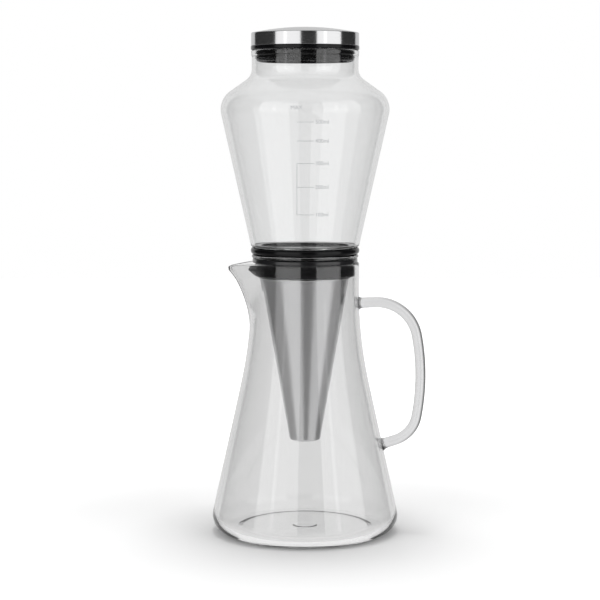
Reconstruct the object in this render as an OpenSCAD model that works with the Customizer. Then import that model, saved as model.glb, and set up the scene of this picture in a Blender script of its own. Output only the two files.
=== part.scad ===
// Cold brew coffee maker: a glass carafe with a handle, a steel cone filter hung in its
// neck, a glass water tower with a drip valve standing on the filter, and a steel lid.
// The origin is on the common axis at the plane the carafe stands on. +Z is up,
// the handle is toward +X and the spout toward -X. All sizes are millimetres.

/* [Carafe] */
// Height of the carafe from its foot to its rim
carafe_h = 183.7; // [160:0.1:220]
// Radius where the straight flank would meet the foot plane
flank_r = 65.8; // [56:0.1:74]
// How much the flank draws in for each millimetre of height
flank_slope = 0.2206; // [0.16:0.0002:0.23]
// Radius of the rounded foot edge
foot_round = 11; // [6:0.5:14]
// Outer radius of the neck
neck_r = 36.4; // [34.5:0.1:40]
// Radius of the long curve from flank to neck
waist_round = 290; // [120:10:320]
// Thickness of the carafe's glass wall
carafe_wall = 2.3; // [1.6:0.1:3]
// Thickness of the carafe's floor
floor_t = 3.2; // [2.4:0.1:6]

/* [Spout] */
// How far the spout's tip stands out from the neck
spout_reach = 15.4; // [8:0.2:20]
// How far the spout's tip hangs below the rim
spout_drop = 2.6; // [0:0.1:4]
// Height over which the spout's underside runs back into the neck
spout_run = 44; // [30:1:60]
// Radius of the spout's rounded tip
spout_tip_r = 3.4; // [2.6:0.1:5]

/* [Handle] */
// Diameter of the glass rod
rod_d = 7; // [5:0.1:10]
// Height of the highest point of the rod's middle
handle_top_z = 156.5; // [140:0.5:165]
// Height at which the lower bend would turn level
handle_low_z = 61.2; // [50:0.1:90]
// Distance from the axis to the rod's middle at its widest
handle_x = 78.4; // [72:0.2:95]
// Radius of the upper bend at the middle of the rod
handle_bend = 28; // [14:0.5:34]
// Radius of the lower bend at the middle of the rod
handle_low_bend = 20.8; // [12:0.2:30]
// How far the rod leans in where its upright bow meets each bend, in degrees
handle_lean = 10.6; // [6:0.2:16]
// Slope of the rod's upper end down to the neck, in degrees
handle_rise = 3; // [0:0.5:6]
// Slope of the rod's lower end down to the flank, in degrees
handle_fall = 18; // [0:0.5:24]

/* [Filter] */
// Height of the black flange that rests on the carafe's rim
flange_h = 3; // [2:0.1:5]
// How far the flange stays inside the neck's outer radius
flange_inset = 1; // [0.2:0.1:2]
// Height of the silicone collar that fills the neck
collar_h = 8.1; // [5:0.1:14]
// Height of the waist between flange and collar
collar_gap = 1.1; // [0.4:0.1:3]
// How far the collar's tongue reaches into the spout
tongue_reach = 4.2; // [1:0.1:5]
// Thickness of the plastic holder's tube
holder_wall = 2; // [1.4:0.1:2.4]
// Thickness of the cone's sheet
cone_wall = 0.6; // [0.4:0.1:1]
// Length of the cone below its straight rim
cone_h = 106.5; // [70:0.5:112]
// Outer radius of the cone at its tip cap
cone_tip_r = 11; // [8:0.1:14]
// Height of the rounded steel tip cap
tip_cap_h = 4.3; // [3:0.1:8]
// Radius of the tip cap's rounded edge
tip_round = 1.8; // [1:0.1:3]
// Space between the cone and its inner mesh
mesh_gap = 0.4; // [0.2:0.1:1]
// Thickness of the inner mesh
mesh_t = 0.4; // [0.3:0.1:0.8]

/* [Tower] */
// Height of the water tower from its lower lip to its rim
tower_h = 138.5; // [120:0.5:170]
// Outer radius of the tower's body just above the ring
tower_low_r = 36.3; // [35:0.1:38]
// How much the body widens for each millimetre of height
tower_slope = 0.2236; // [0.16:0.0002:0.26]
// Depth below the tower's rim where body and shoulder would meet
shoulder_drop = 32.8; // [30:0.1:50]
// Rise of the shoulder for each millimetre that it draws in
shoulder_rise = 0.702; // [0.55:0.002:0.8]
// Radius of the rounded shoulder
shoulder_round = 15; // [8:0.5:18]
// Outer radius of the tower's neck
tower_neck_r = 35.6; // [34:0.1:38]
// Radius of the curve from shoulder to neck
throat_round = 9; // [5:0.5:12]
// Thickness of the tower's glass wall
tower_wall = 2; // [1.6:0.1:2.6]
// Radius of the glass spigot that the ring grips
spigot_r = 31.4; // [30.4:0.1:32]
// Height of the clear lip below the ring
lip_h = 2.5; // [1.6:0.1:3.6]
// Radius of the clear lip
lip_r = 35.9; // [34:0.1:36.2]
// Height of the silicone ring
ring_h = 5; // [4:0.1:7]
// Outer radius of the silicone ring
ring_r = 36.6; // [35:0.1:38]

/* [Drip valve] */
// Height of the silicone plug that closes the tower's foot
plug_h = 10; // [8:0.5:14]
// Radius of the dish in the plug's top
dish_r = 26; // [18:0.5:27]
// Depth of the dish
dish_depth = 0.9; // [0.4:0.1:2]
// Diameter of the valve's water way
water_way_d = 3.4; // [2.4:0.1:4.4]
// Radius of the valve body where the knob turns on it
stem_r = 4; // [3.4:0.1:4.6]
// Radius of the valve body's flange
valve_flange_r = 9; // [7:0.5:11]
// Radius of the valve knob
knob_r = 11; // [9:0.5:14]
// Height of the valve knob
knob_h = 8; // [7.2:0.2:10]
// Number of grips round the knob
knob_grips = 12; // [6:1:18]
// Travel of the valve needle from shut to full flow
needle_travel = 1.5; // [0.5:0.1:1.6]

/* [Lid] */
// Height of the lid's straight steel band
band_h = 8.6; // [6:0.1:12]
// Rise of the lid's domed top above the band
dome_h = 3.9; // [2:0.1:8]
// Outer radius of the lid
lid_r = 36; // [35:0.1:38]
// Thickness of the lid's steel
lid_wall = 0.7; // [0.5:0.1:1]
// Height of the black flange between lid and glass
gasket_h = 2.8; // [2:0.1:4]
// Depth of the stopper in the tower's neck
stopper_h = 7.8; // [5:0.1:14]
// Radius of the stopper's rounded lower edge
stopper_round = 2.6; // [1:0.1:3]

/* [Fits] */
// Gap between a silicone collar or stopper and the glass round it
neck_gap = 0.3; // [0.2:0.05:0.5]
// Gap round parts that turn or slide in each other
run_gap = 0.05; // [0.03:0.01:0.1]
// Gap between moving faces that pass each other
face_gap = 0.3; // [0.2:0.05:0.5]

/* [Hidden] */
$fn = 96;
arc_steps = 10;      // segments in a rounded corner of an outline
wide_steps = 18;     // segments in a long, wide curve
eps = 0.01;          // how far a cutting shape passes a face
past = 1;            // how far a cut runs out of the part

// Carafe
neck_bore = neck_r - carafe_wall;

// Handle: a long bow, upright at its widest, joins the two bends
bow_r = (handle_top_z - handle_low_z - (handle_bend + handle_low_bend) * (1 - sin(handle_lean)))
        / (2 * sin(handle_lean));
bow_z = handle_top_z - handle_bend - (bow_r - handle_bend) * sin(handle_lean);
root_len = 3.2;      // the rod swells over this length where it is fused to the wall
root_in = 2;         // and its swelling starts this deep in the wall
root_flare = 5;
rod_sides = 32;
bend_steps = 14;

// Spout
tip_z = carafe_h - spout_drop;
spout_steps = 10;    // slices between the spout's root and its tip
spout_curl = 1.75;   // how quickly the underside falls away from the tip
spout_root_x = 14;   // the wedge closes here, inside the neck's bore
tip_sides = 8;

// Filter, downward from the flange's top
flange_top_z = carafe_h + flange_h;
flange_r = neck_r - flange_inset;
flange_edge = 1.1;                        // rounding of the flange's upper rim
flange_low_edge = 0.4;                    // and of its lower rim
collar_top_z = carafe_h - collar_gap;
collar_low_z = collar_top_z - collar_h;
collar_r = neck_bore - neck_gap;
holder_r = collar_r - 1.9;                // outside of the holder's tube, under the collar
holder_bore = holder_r - holder_wall;
holder_low_z = collar_low_z + 0.6;        // the holder's tube ends inside the collar
cone_rim_r = holder_bore - 0.3;           // the steel cone's straight rim
rim_lip_r = holder_bore + 1.5;            // out-turned lip that hangs the cone in the holder
rim_lip_t = 0.8;
cone_bead_h = 1;                          // rolled bead that shows under the collar
cone_bead_proud = 1.2;
cone_bead_z = collar_low_z - face_gap - cone_bead_h;
cone_top_z = cone_bead_z;                 // where the rim's straight part turns into the cone
cone_low_z = cone_top_z - cone_h;
tip_z_low = cone_low_z - tip_cap_h;
tip_spigot_h = 3;                         // the tip cap's plug inside the cone
cone_slope = (cone_rim_r - cone_tip_r) / cone_h;
mesh_low_z = cone_low_z + tip_spigot_h;
mesh_band_h = 4;                          // the mesh's welded band inside the cone's rim

// Tower, upward from the lip that stands on the flange
lip_z = flange_top_z;
ring_z = lip_z + lip_h;
body_z = ring_z + ring_h;
rim_z = lip_z + tower_h;
body_edge = 2.4;                          // rounding of the body's lower corner
spigot_bore = spigot_r - tower_wall;
tower_bore = tower_neck_r - tower_wall;
shoulder_corner_z = rim_z - shoulder_drop;
shoulder_corner_r = tower_low_r + tower_slope * (shoulder_corner_z - body_z);
throat_corner_z = shoulder_corner_z + shoulder_rise * (shoulder_corner_r - tower_neck_r);
bead_h = 4;                               // the thickened rim of the tower's neck
bead_proud = 0.4;

// Drip valve, downward from the plug's dish
plug_r = spigot_bore - 0.05;
plug_foot_r = cone_rim_r - cone_wall - neck_gap;   // the plug's lower end, inside the cone's rim
plug_top_z = body_z - 0.4;
plug_low_z = plug_top_z - plug_h;
valve_socket_r = 5.4;                     // the valve body's seat in the plug
socket_top_z = plug_low_z + 6;
washer_t = 1;
flange_t = 1.6;
valve_flange_z = plug_low_z - washer_t - flange_t;
knob_top_z = valve_flange_z - face_gap;
knob_low_z = knob_top_z - knob_h;
clip_t = 0.8;
clip_top_z = knob_low_z - face_gap;
stem_low_z = clip_top_z - clip_t - 1.4;
pin_d = 1.4;                              // the follower pin that the knob drives
pin_z = knob_top_z - 2.4;
pin_room_r = stem_r + 2;                  // groove in the knob that the pin's ends run in
pin_reach = pin_room_r - face_gap;
seat_z = socket_top_z - 1.6;              // the needle's shoulder closes against this seat
needle_r = water_way_d / 2 - 0.4;
needle_neck_r = needle_r - 0.35;
needle_point_r = 0.5;
needle_point_h = 1.3;
needle_low_z = pin_z - pin_d;
slot_w = pin_d + 2 * run_gap;
nozzle_r = 3;
nozzle_h = 5;

// Lid, upward from the glass rim
band_z = rim_z + gasket_h;
band_top_z = band_z + band_h;
lid_edge = 1.2;                           // rounding between band and dome
dome_r = (lid_r * lid_r + dome_h * dome_h) / (2 * dome_h);
stopper_r = tower_bore - neck_gap;
stopper_wall = 3;
rib_h = 1;
rib_proud = 0.15;
core_t = 4;

// Outline helpers: an outline is a list of [radius, height, rounding].
function unit(v) = v / norm(v);
function turned(v, a) = [v[0] * cos(a) - v[1] * sin(a), v[0] * sin(a) + v[1] * cos(a)];
function side(u, w) = u[0] * w[1] - u[1] * w[0] > 0 ? -1 : 1;
function corner(a, b, c, r, steps) =
    let (u = unit(a - b),
         w = unit(c - b),
         inner = acos(u * w),
         reach = r / tan(inner / 2),
         centre = b + unit(u + w) * r / sin(inner / 2),
         arm = b + u * reach - centre,
         swing = side(u, w) * (180 - inner))
    [for (i = [0:steps]) centre + turned(arm, swing * i / steps)];
function at(p) = [p[0], p[1]];
function rounded(p, steps = arc_steps) =
    [for (i = [0:len(p) - 1])
        each (p[i][2] > 0
            ? corner(at(p[(i + len(p) - 1) % len(p)]), at(p[i]), at(p[(i + 1) % len(p)]),
                     p[i][2], p[i][2] > 40 ? wide_steps : steps)
            : [at(p[i])])];
module turn(outline) rotate_extrude() polygon(rounded(outline));
module ring(r_out, r_in, z_low, z_top) {
    difference() {
        translate([0, 0, z_low]) cylinder(r = r_out, h = z_top - z_low);
        translate([0, 0, z_low - past]) cylinder(r = r_in, h = z_top - z_low + 2 * past);
    }
}

// ---- Carafe ----
function flank_at(z, inset = 0) = flank_r - inset * sqrt(1 + flank_slope * flank_slope) - flank_slope * z;
function waist_z(inset) = (flank_at(0, inset) - (neck_r - inset)) / flank_slope;

module carafe_outer() {
    turn([[0, 0, 0], [flank_at(0), 0, foot_round], [neck_r, waist_z(0), waist_round],
          [neck_r, carafe_h, 0.9], [0, carafe_h, 0]]);
}

module carafe_inner() {
    turn([[0, floor_t, 0], [flank_at(floor_t, carafe_wall), floor_t, foot_round - carafe_wall],
          [neck_bore, waist_z(carafe_wall), waist_round],
          [neck_bore, carafe_h + past, 0], [0, carafe_h + past, 0]]);
}

// A rounded wedge toward -X that narrows to its tip. The tip is at distance reach from the axis.
// It starts inside the neck's wall and closes inside its bore.
function wedge(reach, base_r, tip_r, z) =
    let (tip_x = reach - tip_r,
         lean = acos((base_r - tip_r) / max(tip_x, base_r - tip_r + 0.2)))
    concat([[-spout_root_x, -base_r * 0.82, z], [-base_r * cos(lean), -base_r * sin(lean), z]],
           [for (i = [0:tip_sides])
               let (a = lean - 2 * lean * i / tip_sides)
               [-tip_x - tip_r * cos(a), -tip_r * sin(a), z]],
           [[-base_r * cos(lean), base_r * sin(lean), z], [-spout_root_x, base_r * 0.82, z]]);

module loft(slices) {
    n = len(slices[0]);
    m = len(slices);
    polyhedron(
        points = [for (s = slices) each s],
        faces = concat(
            [[for (i = [n - 1:-1:0]) i]],
            [for (k = [0:m - 2], i = [0:n - 1])
                let (j = (i + 1) % n)
                each [[k * n + i, k * n + j, (k + 1) * n + j],
                      [k * n + i, (k + 1) * n + j, (k + 1) * n + i]]],
            [[for (i = [0:n - 1]) (m - 1) * n + i]]));
}

// Share of the spout's reach at a share u of its run below the tip; it ends inside the wall.
function reach_at(u) = pow(1 - u, spout_curl) - 0.06 * u;

module spout(inset) {
    base_r = neck_r - 0.4 - inset;
    tip_r = spout_tip_r - inset * 0.6;
    rim_reach = neck_r + spout_reach - inset;
    loft(concat(
        [for (i = [spout_steps:-1:0])
            let (u = i / spout_steps)
            wedge(neck_r + reach_at(u) * spout_reach - inset, base_r, tip_r, tip_z - u * spout_run)],
        [wedge(rim_reach, base_r, tip_r, carafe_h + spout_drop + past)]));
}

module carafe_glass() {
    color([0.86, 0.89, 0.9, 0.45])
        difference() {
            union() {
                carafe_outer();
                intersection() {
                    spout(0);
                    spout_top();
                    translate([-2 * neck_r, -neck_r, 0])
                        cube([2 * neck_r, 2 * neck_r, carafe_h]);
                }
            }
            carafe_inner();
            spout(carafe_wall * 0.85);
        }
}

// Everything below the plane that dips from the neck's rim to the spout's tip.
module spout_top() {
    dip = atan(spout_drop / spout_reach);
    translate([-neck_r, 0, carafe_h])
        rotate([0, -dip, 0])
            translate([-2 * neck_r, -neck_r, -2 * spout_run])
                cube([4 * neck_r, 2 * neck_r, 2 * spout_run]);
}

// One ring of the rod round [x, z], with the direction that is outward on the bends.
function rod_ring(x, z, out, r) =
    [for (i = [0:rod_sides - 1])
        let (t = 360 * i / rod_sides)
        [x + r * cos(t) * cos(out), r * sin(t), z + r * cos(t) * sin(out)]];

// The rings after the first of a bend of radius r round [x, z], between two outward directions.
function bend_rings(x, z, r, first, last) =
    [for (i = [1:bend_steps])
        let (out = first + (last - first) * i / bend_steps)
        rod_ring(x + r * cos(out), z + r * sin(out), out, rod_d / 2)];

// The rod's straight end from [x, z] down its slope: where it meets the bend, where it
// starts to swell, and its swollen root in the wall.
function end_rings(x, z, slope, out) =
    let (on_flank = flank_at(z) > neck_r,
         run = (x - max(neck_r, flank_at(z))) / (cos(slope) + (on_flank ? flank_slope : 0) * sin(slope)))
    [for (e = [[0, 0], [max(run - root_len, root_in / 4), 0], [run + root_in, root_flare / 2]])
        rod_ring(x - e[0] * cos(slope), z - e[0] * sin(slope), out, rod_d / 2 + e[1])];

// Middle of a bend of radius r, and its height from where the bow is upright.
function bend_x(r) = handle_x - bow_r + (bow_r - r) * cos(handle_lean);
function bend_rise(r) = (bow_r - r) * sin(handle_lean);

module carafe_handle() {
    high = [bend_x(handle_bend), bow_z + bend_rise(handle_bend)];
    low = [bend_x(handle_low_bend), bow_z - bend_rise(handle_low_bend)];
    top_end = end_rings(high[0] - handle_bend * sin(handle_rise),
                        high[1] + handle_bend * cos(handle_rise), handle_rise, 90 + handle_rise);
    low_end = end_rings(low[0] + handle_low_bend * sin(handle_fall),
                        low[1] - handle_low_bend * cos(handle_fall), handle_fall, handle_fall - 90);
    color([0.84, 0.87, 0.88, 0.6])
        difference() {
            loft(concat([top_end[2], top_end[1], top_end[0]],
                        bend_rings(high[0], high[1], handle_bend, 90 + handle_rise, handle_lean),
                        bend_rings(handle_x - bow_r, bow_z, bow_r, handle_lean, -handle_lean),
                        bend_rings(low[0], low[1], handle_low_bend, -handle_lean, handle_fall - 90),
                        [low_end[1], low_end[2]]));
            carafe_outer();
        }
}

// ---- Filter ----
module filter_flange() {
    color([0.08, 0.08, 0.09])
        difference() {
            union() {
                turn([[0, carafe_h, 0], [flange_r, carafe_h, flange_low_edge],
                      [flange_r, flange_top_z, flange_edge], [0, flange_top_z, 0]]);
                translate([0, 0, holder_low_z])
                    cylinder(r = holder_r, h = carafe_h - holder_low_z + eps);
            }
            translate([0, 0, holder_low_z - past])
                cylinder(r = holder_bore, h = carafe_h);
            translate([0, 0, flange_top_z - rim_lip_t - 0.1])
                cylinder(r = rim_lip_r + 0.1, h = past + rim_lip_t);
        }
}

// Plan of the tongue that points into the spout.
module tongue_plan() {
    tip_x = neck_r + tongue_reach - 1.2;
    hull() {
        translate([-tip_x, 0]) circle(r = 1.2);
        translate([-collar_r * 0.86, 0]) square([eps, collar_r * 0.86], center = true);
    }
}

// Side view of the tongue: a beak that thins toward its tip.
module tongue_side() {
    tip_x = neck_r + tongue_reach + past;
    mid_z = (collar_top_z + collar_low_z) / 2;
    polygon([[-collar_r + 4, collar_top_z - 0.6], [-collar_r - 0.4, collar_top_z - 1.4],
             [-tip_x, mid_z + 0.5], [-tip_x, mid_z - 0.8],
             [-collar_r - 0.4, collar_low_z + 0.6], [-collar_r + 4, collar_low_z + 0.6]]);
}

module filter_seal() {
    color([0.1, 0.1, 0.11])
        difference() {
            union() {
                turn([[0, collar_low_z, 0], [collar_r, collar_low_z, 1.6],
                      [collar_r, collar_top_z, 0.5], [0, collar_top_z, 0]]);
                intersection() {
                    translate([0, 0, collar_low_z])
                        linear_extrude(collar_h)
                            tongue_plan();
                    rotate([90, 0, 0])
                        linear_extrude(2 * collar_r, center = true)
                            tongue_side();
                }
            }
            translate([0, 0, holder_low_z])
                cylinder(r = holder_r, h = collar_h + past);
            translate([0, 0, collar_low_z - past])
                cylinder(r = holder_bore, h = collar_h);
        }
}

module filter_cone() {
    t = cone_wall;
    lip_top = flange_top_z - 0.1;
    bead_r = cone_rim_r + cone_bead_proud;
    bead_top = cone_bead_z + cone_bead_h;
    color([0.72, 0.73, 0.74])
        turn([[cone_tip_r - t, cone_low_z, 0], [cone_tip_r, cone_low_z, 0],
              [cone_rim_r, cone_top_z, 0], [bead_r, cone_bead_z, cone_bead_h * 0.4],
              [bead_r, bead_top, cone_bead_h * 0.4], [cone_rim_r, bead_top, 0],
              [cone_rim_r, lip_top - rim_lip_t, 0], [rim_lip_r, lip_top - rim_lip_t, 0],
              [rim_lip_r, lip_top, 0], [cone_rim_r - t, lip_top, 0],
              [cone_rim_r - t, cone_top_z, 0]]);
}

module filter_mesh() {
    outer = cone_wall + mesh_gap;
    low_r = cone_tip_r + cone_slope * (mesh_low_z - cone_low_z) - outer;
    band_low = cone_top_z + 1;
    color([0.6, 0.61, 0.62])
        rotate_extrude()
            polygon([[low_r - mesh_t, mesh_low_z], [low_r, mesh_low_z],
                     [cone_rim_r - outer, cone_top_z], [cone_rim_r - outer, band_low],
                     [cone_rim_r - cone_wall, band_low], [cone_rim_r - cone_wall, band_low + mesh_band_h],
                     [cone_rim_r - outer - mesh_t, band_low + mesh_band_h],
                     [cone_rim_r - outer - mesh_t, cone_top_z]]);
}

module filter_tip_cap() {
    low_r = cone_tip_r - cone_slope * tip_cap_h;
    color([0.7, 0.71, 0.72])
        difference() {
            union() {
                turn([[0, tip_z_low, 0], [low_r, tip_z_low, tip_round],
                      [cone_tip_r, cone_low_z, 0], [0, cone_low_z, 0]]);
                translate([0, 0, cone_low_z - eps])
                    cylinder(r1 = cone_tip_r - cone_wall - run_gap,
                             r2 = cone_tip_r - cone_wall - run_gap + cone_slope * tip_spigot_h,
                             h = tip_spigot_h + eps);
            }
            translate([0, 0, tip_z_low + 1.4])
                cylinder(r = low_r - tip_round - 0.4, h = tip_cap_h + tip_spigot_h);
        }
}

// ---- Tower ----
module tower_outer() {
    turn([[0, lip_z, 0], [lip_r, lip_z, 0.9], [lip_r, ring_z, 0.9], [spigot_r, ring_z, 0],
          [spigot_r, body_z, 0], [tower_low_r, body_z, body_edge],
          [shoulder_corner_r, shoulder_corner_z, shoulder_round],
          [tower_neck_r, throat_corner_z, throat_round], [tower_neck_r, rim_z - bead_h, 0],
          [tower_neck_r + bead_proud, rim_z - bead_h + 1, 0], [tower_neck_r + bead_proud, rim_z, 1],
          [0, rim_z, 0]]);
}

// The body's inside follows the outside, one wall thickness in.
module tower_inner() {
    t = tower_wall;
    lean = sqrt(1 + tower_slope * tower_slope);
    slant = sqrt(1 + shoulder_rise * shoulder_rise);
    both = 1 + tower_slope * shoulder_rise;
    inner_r = shoulder_corner_r - t * (lean + tower_slope * slant) / both;
    inner_z = shoulder_corner_z - t * (slant - shoulder_rise * lean) / both;
    low_r = inner_r - tower_slope * (inner_z - body_z - t);
    turn([[0, lip_z - past, 0], [spigot_bore, lip_z - past, 0], [spigot_bore, body_z + t, 0.8],
          [low_r, body_z + t, body_edge], [inner_r, inner_z, shoulder_round - t],
          [tower_bore, inner_z + shoulder_rise * (inner_r - tower_bore), throat_round + t],
          [tower_bore, rim_z + past, 0], [0, rim_z + past, 0]]);
}

module tower_glass() {
    color([0.86, 0.89, 0.9, 0.45])
        difference() {
            tower_outer();
            tower_inner();
        }
}

module tower_ring() {
    color([0.07, 0.07, 0.08])
        turn([[spigot_r, ring_z, 0], [ring_r, ring_z, ring_h * 0.48],
              [ring_r, body_z, ring_h * 0.48], [spigot_r, body_z, 0]]);
}

module tower_plug() {
    color([0.13, 0.13, 0.14])
        difference() {
            turn([[0, plug_low_z, 0], [plug_foot_r, plug_low_z, 0.8], [plug_foot_r, lip_z, 0],
                  [plug_r, lip_z, 0], [plug_r, plug_top_z, 0.8],
                  [dish_r + 1, plug_top_z, 0], [dish_r, plug_top_z - dish_depth, 0],
                  [0, plug_top_z - dish_depth, 0]]);
            translate([0, 0, plug_low_z - past])
                cylinder(r = valve_socket_r, h = socket_top_z - plug_low_z + past);
            translate([0, 0, socket_top_z - past])
                cylinder(d = water_way_d, h = plug_top_z - socket_top_z + 2 * past);
        }
}

// ---- Drip valve ----
module valve_body() {
    slot_h = needle_travel + pin_d + 2 * face_gap;
    color([0.75, 0.75, 0.76])
        difference() {
            union() {
                translate([0, 0, stem_low_z])
                    cylinder(r = stem_r, h = valve_flange_z - stem_low_z + eps);
                translate([0, 0, valve_flange_z])
                    cylinder(r = valve_flange_r, h = flange_t);
                translate([0, 0, valve_flange_z + flange_t - eps])
                    cylinder(r = valve_socket_r, h = socket_top_z - valve_flange_z - flange_t + eps);
            }
            translate([0, 0, stem_low_z - past])
                cylinder(d = water_way_d, h = seat_z - stem_low_z + past);
            translate([0, 0, seat_z - eps])
                cylinder(r = needle_neck_r + run_gap, h = socket_top_z - seat_z + past);
            translate([-stem_r - past, -slot_w / 2, pin_z - needle_travel - pin_d / 2 - face_gap])
                cube([2 * (stem_r + past), slot_w, slot_h]);
            difference() {
                translate([0, 0, clip_top_z - clip_t - run_gap])
                    cylinder(r = stem_r + past, h = clip_t + 2 * run_gap);
                cylinder(r = stem_r - 0.6, h = clip_top_z + past);
            }
        }
}

module valve_washer() {
    color([0.12, 0.12, 0.13])
        ring(valve_flange_r, valve_socket_r, plug_low_z - washer_t, plug_low_z);
}

// Spring clip that keeps the knob on the valve body.
module valve_clip() {
    color([0.66, 0.66, 0.68])
        difference() {
            ring(stem_r + 1.6, stem_r - 0.6, clip_top_z - clip_t, clip_top_z);
            translate([stem_r * 0.4, -stem_r * 0.5, clip_top_z - clip_t - past])
                cube([2 * stem_r, stem_r, clip_t + 2 * past]);
        }
}

module drip_nozzle() {
    color([0.74, 0.74, 0.75])
        difference() {
            turn([[0, stem_low_z - nozzle_h, 0], [nozzle_r * 0.6, stem_low_z - nozzle_h, 0.6],
                  [nozzle_r, stem_low_z, 0], [0, stem_low_z, 0]]);
            translate([0, 0, stem_low_z - nozzle_h - past])
                cylinder(d = water_way_d * 0.6, h = nozzle_h + 2 * past);
        }
}

module valve_knob() {
    color([0.09, 0.09, 0.1])
        difference() {
            turn([[0, knob_low_z, 0], [knob_r, knob_low_z, 1], [knob_r, knob_top_z, 1],
                  [0, knob_top_z, 0]]);
            translate([0, 0, knob_low_z - past])
                cylinder(r = stem_r + run_gap, h = knob_h + 2 * past);
            translate([0, 0, pin_z - needle_travel - pin_d / 2 - face_gap])
                cylinder(r = pin_room_r, h = needle_travel + pin_d + 2 * face_gap);
            for (i = [0:knob_grips - 1])
                rotate([0, 0, 360 * i / knob_grips])
                    translate([knob_r + 1, 0, knob_low_z - past])
                        cylinder(r = 2, h = knob_h + 2 * past);
        }
}

module valve_needle() {
    shoulder = seat_z - run_gap;
    color([0.8, 0.8, 0.81])
        difference() {
            union() {
                translate([0, 0, needle_low_z])
                    cylinder(r = needle_r, h = shoulder - needle_low_z);
                translate([0, 0, shoulder - eps])
                    cylinder(r1 = needle_neck_r, r2 = needle_point_r, h = needle_point_h);
            }
            translate([-needle_r - past, 0, pin_z])
                rotate([0, 90, 0])
                    cylinder(d = pin_d, h = 2 * (needle_r + past));
            needle_groove();
        }
}

module needle_groove() {
    ring(needle_r + past, needle_r - 0.35, plug_low_z + 1, plug_low_z + 2);
}

module needle_pin() {
    color([0.62, 0.62, 0.64])
        translate([-pin_reach, 0, pin_z])
            rotate([0, 90, 0])
                cylinder(d = pin_d, h = 2 * pin_reach);
}

module needle_seal() {
    color([0.15, 0.15, 0.16])
        ring(needle_r + 0.3, needle_r - 0.35, plug_low_z + 1, plug_low_z + 2);
}

// ---- Lid ----
function dome_at(r, drop = 0) = band_top_z + dome_h - drop - (dome_r - sqrt(dome_r * dome_r - r * r));

module lid_skin(inset) {
    r = lid_r - inset;
    edge_r = r - lid_edge;
    rotate_extrude()
        polygon(concat([[0, band_z - (inset > 0 ? past : 0)], [r, band_z - (inset > 0 ? past : 0)]],
                       corner([r, band_z], [r, dome_at(r, inset)], [edge_r, dome_at(edge_r, inset)],
                              lid_edge / 2, arc_steps),
                       [for (i = [1:wide_steps])
                           let (q = edge_r * (1 - i / wide_steps))
                           [q, dome_at(q, inset)]]));
}

module lid_cap() {
    color([0.76, 0.76, 0.77])
        difference() {
            lid_skin(0);
            lid_skin(lid_wall);
        }
}

module lid_core() {
    color([0.14, 0.14, 0.15])
        translate([0, 0, band_z])
            cylinder(r = lid_r - lid_wall - 0.05, h = core_t);
}

module lid_gasket() {
    low_z = rim_z - stopper_h;
    color([0.08, 0.08, 0.09])
        difference() {
            union() {
                turn([[0, low_z, 0], [stopper_r - 0.4, low_z, stopper_round],
                      [stopper_r - 0.4, rim_z, 0], [lid_r + 0.2, rim_z, 0.8],
                      [lid_r + 0.2, band_z, 0.4], [0, band_z, 0]]);
                for (k = [0:1])
                    translate([0, 0, rim_z - 2 - rib_h - 2.6 * k])
                        cylinder(r = stopper_r + rib_proud, h = rib_h);
            }
            translate([0, 0, low_z - past])
                cylinder(r = stopper_r - 0.4 - stopper_wall, h = stopper_h + past);
        }
}

carafe_glass();
carafe_handle();
filter_flange();
filter_seal();
filter_cone();
filter_mesh();
filter_tip_cap();
tower_glass();
tower_ring();
tower_plug();
valve_body();
valve_washer();
valve_clip();
drip_nozzle();
valve_knob();
valve_needle();
needle_pin();
needle_seal();
lid_cap();
lid_core();
lid_gasket();
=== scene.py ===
"""Cold brew coffee maker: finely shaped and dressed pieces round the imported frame.

A flared glass carafe with a rod handle, a steel cone filter that hangs in its neck from a
black holder, a tapered glass tower with a drip valve, and a domed steel lid. Sizes are
millimetres here and become metres when a mesh is made.
"""

import logging
import math
from dataclasses import dataclass
from enum import Enum
from typing import Callable, Sequence

import bmesh
import bpy
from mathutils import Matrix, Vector


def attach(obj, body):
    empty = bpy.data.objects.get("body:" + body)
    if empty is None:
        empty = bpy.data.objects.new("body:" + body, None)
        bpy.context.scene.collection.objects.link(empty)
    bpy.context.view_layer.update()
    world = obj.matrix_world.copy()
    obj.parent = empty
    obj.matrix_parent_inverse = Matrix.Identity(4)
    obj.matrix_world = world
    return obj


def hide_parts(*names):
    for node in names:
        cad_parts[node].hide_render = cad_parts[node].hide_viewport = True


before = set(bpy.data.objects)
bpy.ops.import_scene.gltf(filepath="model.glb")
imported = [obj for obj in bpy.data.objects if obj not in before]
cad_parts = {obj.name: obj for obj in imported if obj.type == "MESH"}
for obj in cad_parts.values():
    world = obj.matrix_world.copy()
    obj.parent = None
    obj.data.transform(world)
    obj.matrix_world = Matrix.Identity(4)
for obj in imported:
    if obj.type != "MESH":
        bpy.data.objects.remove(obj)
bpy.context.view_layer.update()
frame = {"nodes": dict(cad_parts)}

LOG = logging.getLogger("coffee_maker")
MM = 0.001
SWEEP_FROM = 40.0
SWEEP_STEPS = 40
EDGE_BELOW = 2.0
EDGE_STEPS = 8
CORNER_STEPS = 12
MERGE_M = 1e-6

Point = tuple[float, float]
Triple = tuple[float, float, float]
Knot = Triple
Piece = bpy.types.Object
Material = bpy.types.Material
Tree = bpy.types.NodeTree
Node = bpy.types.Node
Socket = bpy.types.NodeSocket


class Body(Enum):
    """The moving bodies that the pieces ride on."""

    CARAFE = "carafe"
    FILTER = "filter"
    TOWER = "tower"
    KNOB = "knob"
    NEEDLE = "needle"
    LID = "lid"


class Slot(Enum):
    """The record's material slots."""

    GLASS = "clear_glass"
    STEEL = "brushed_steel"
    MESH = "steel_mesh"
    VALVE = "valve_steel"
    SILICONE = "black_silicone"
    PLASTIC = "black_plastic"


# ---- Mesh making ----


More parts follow.
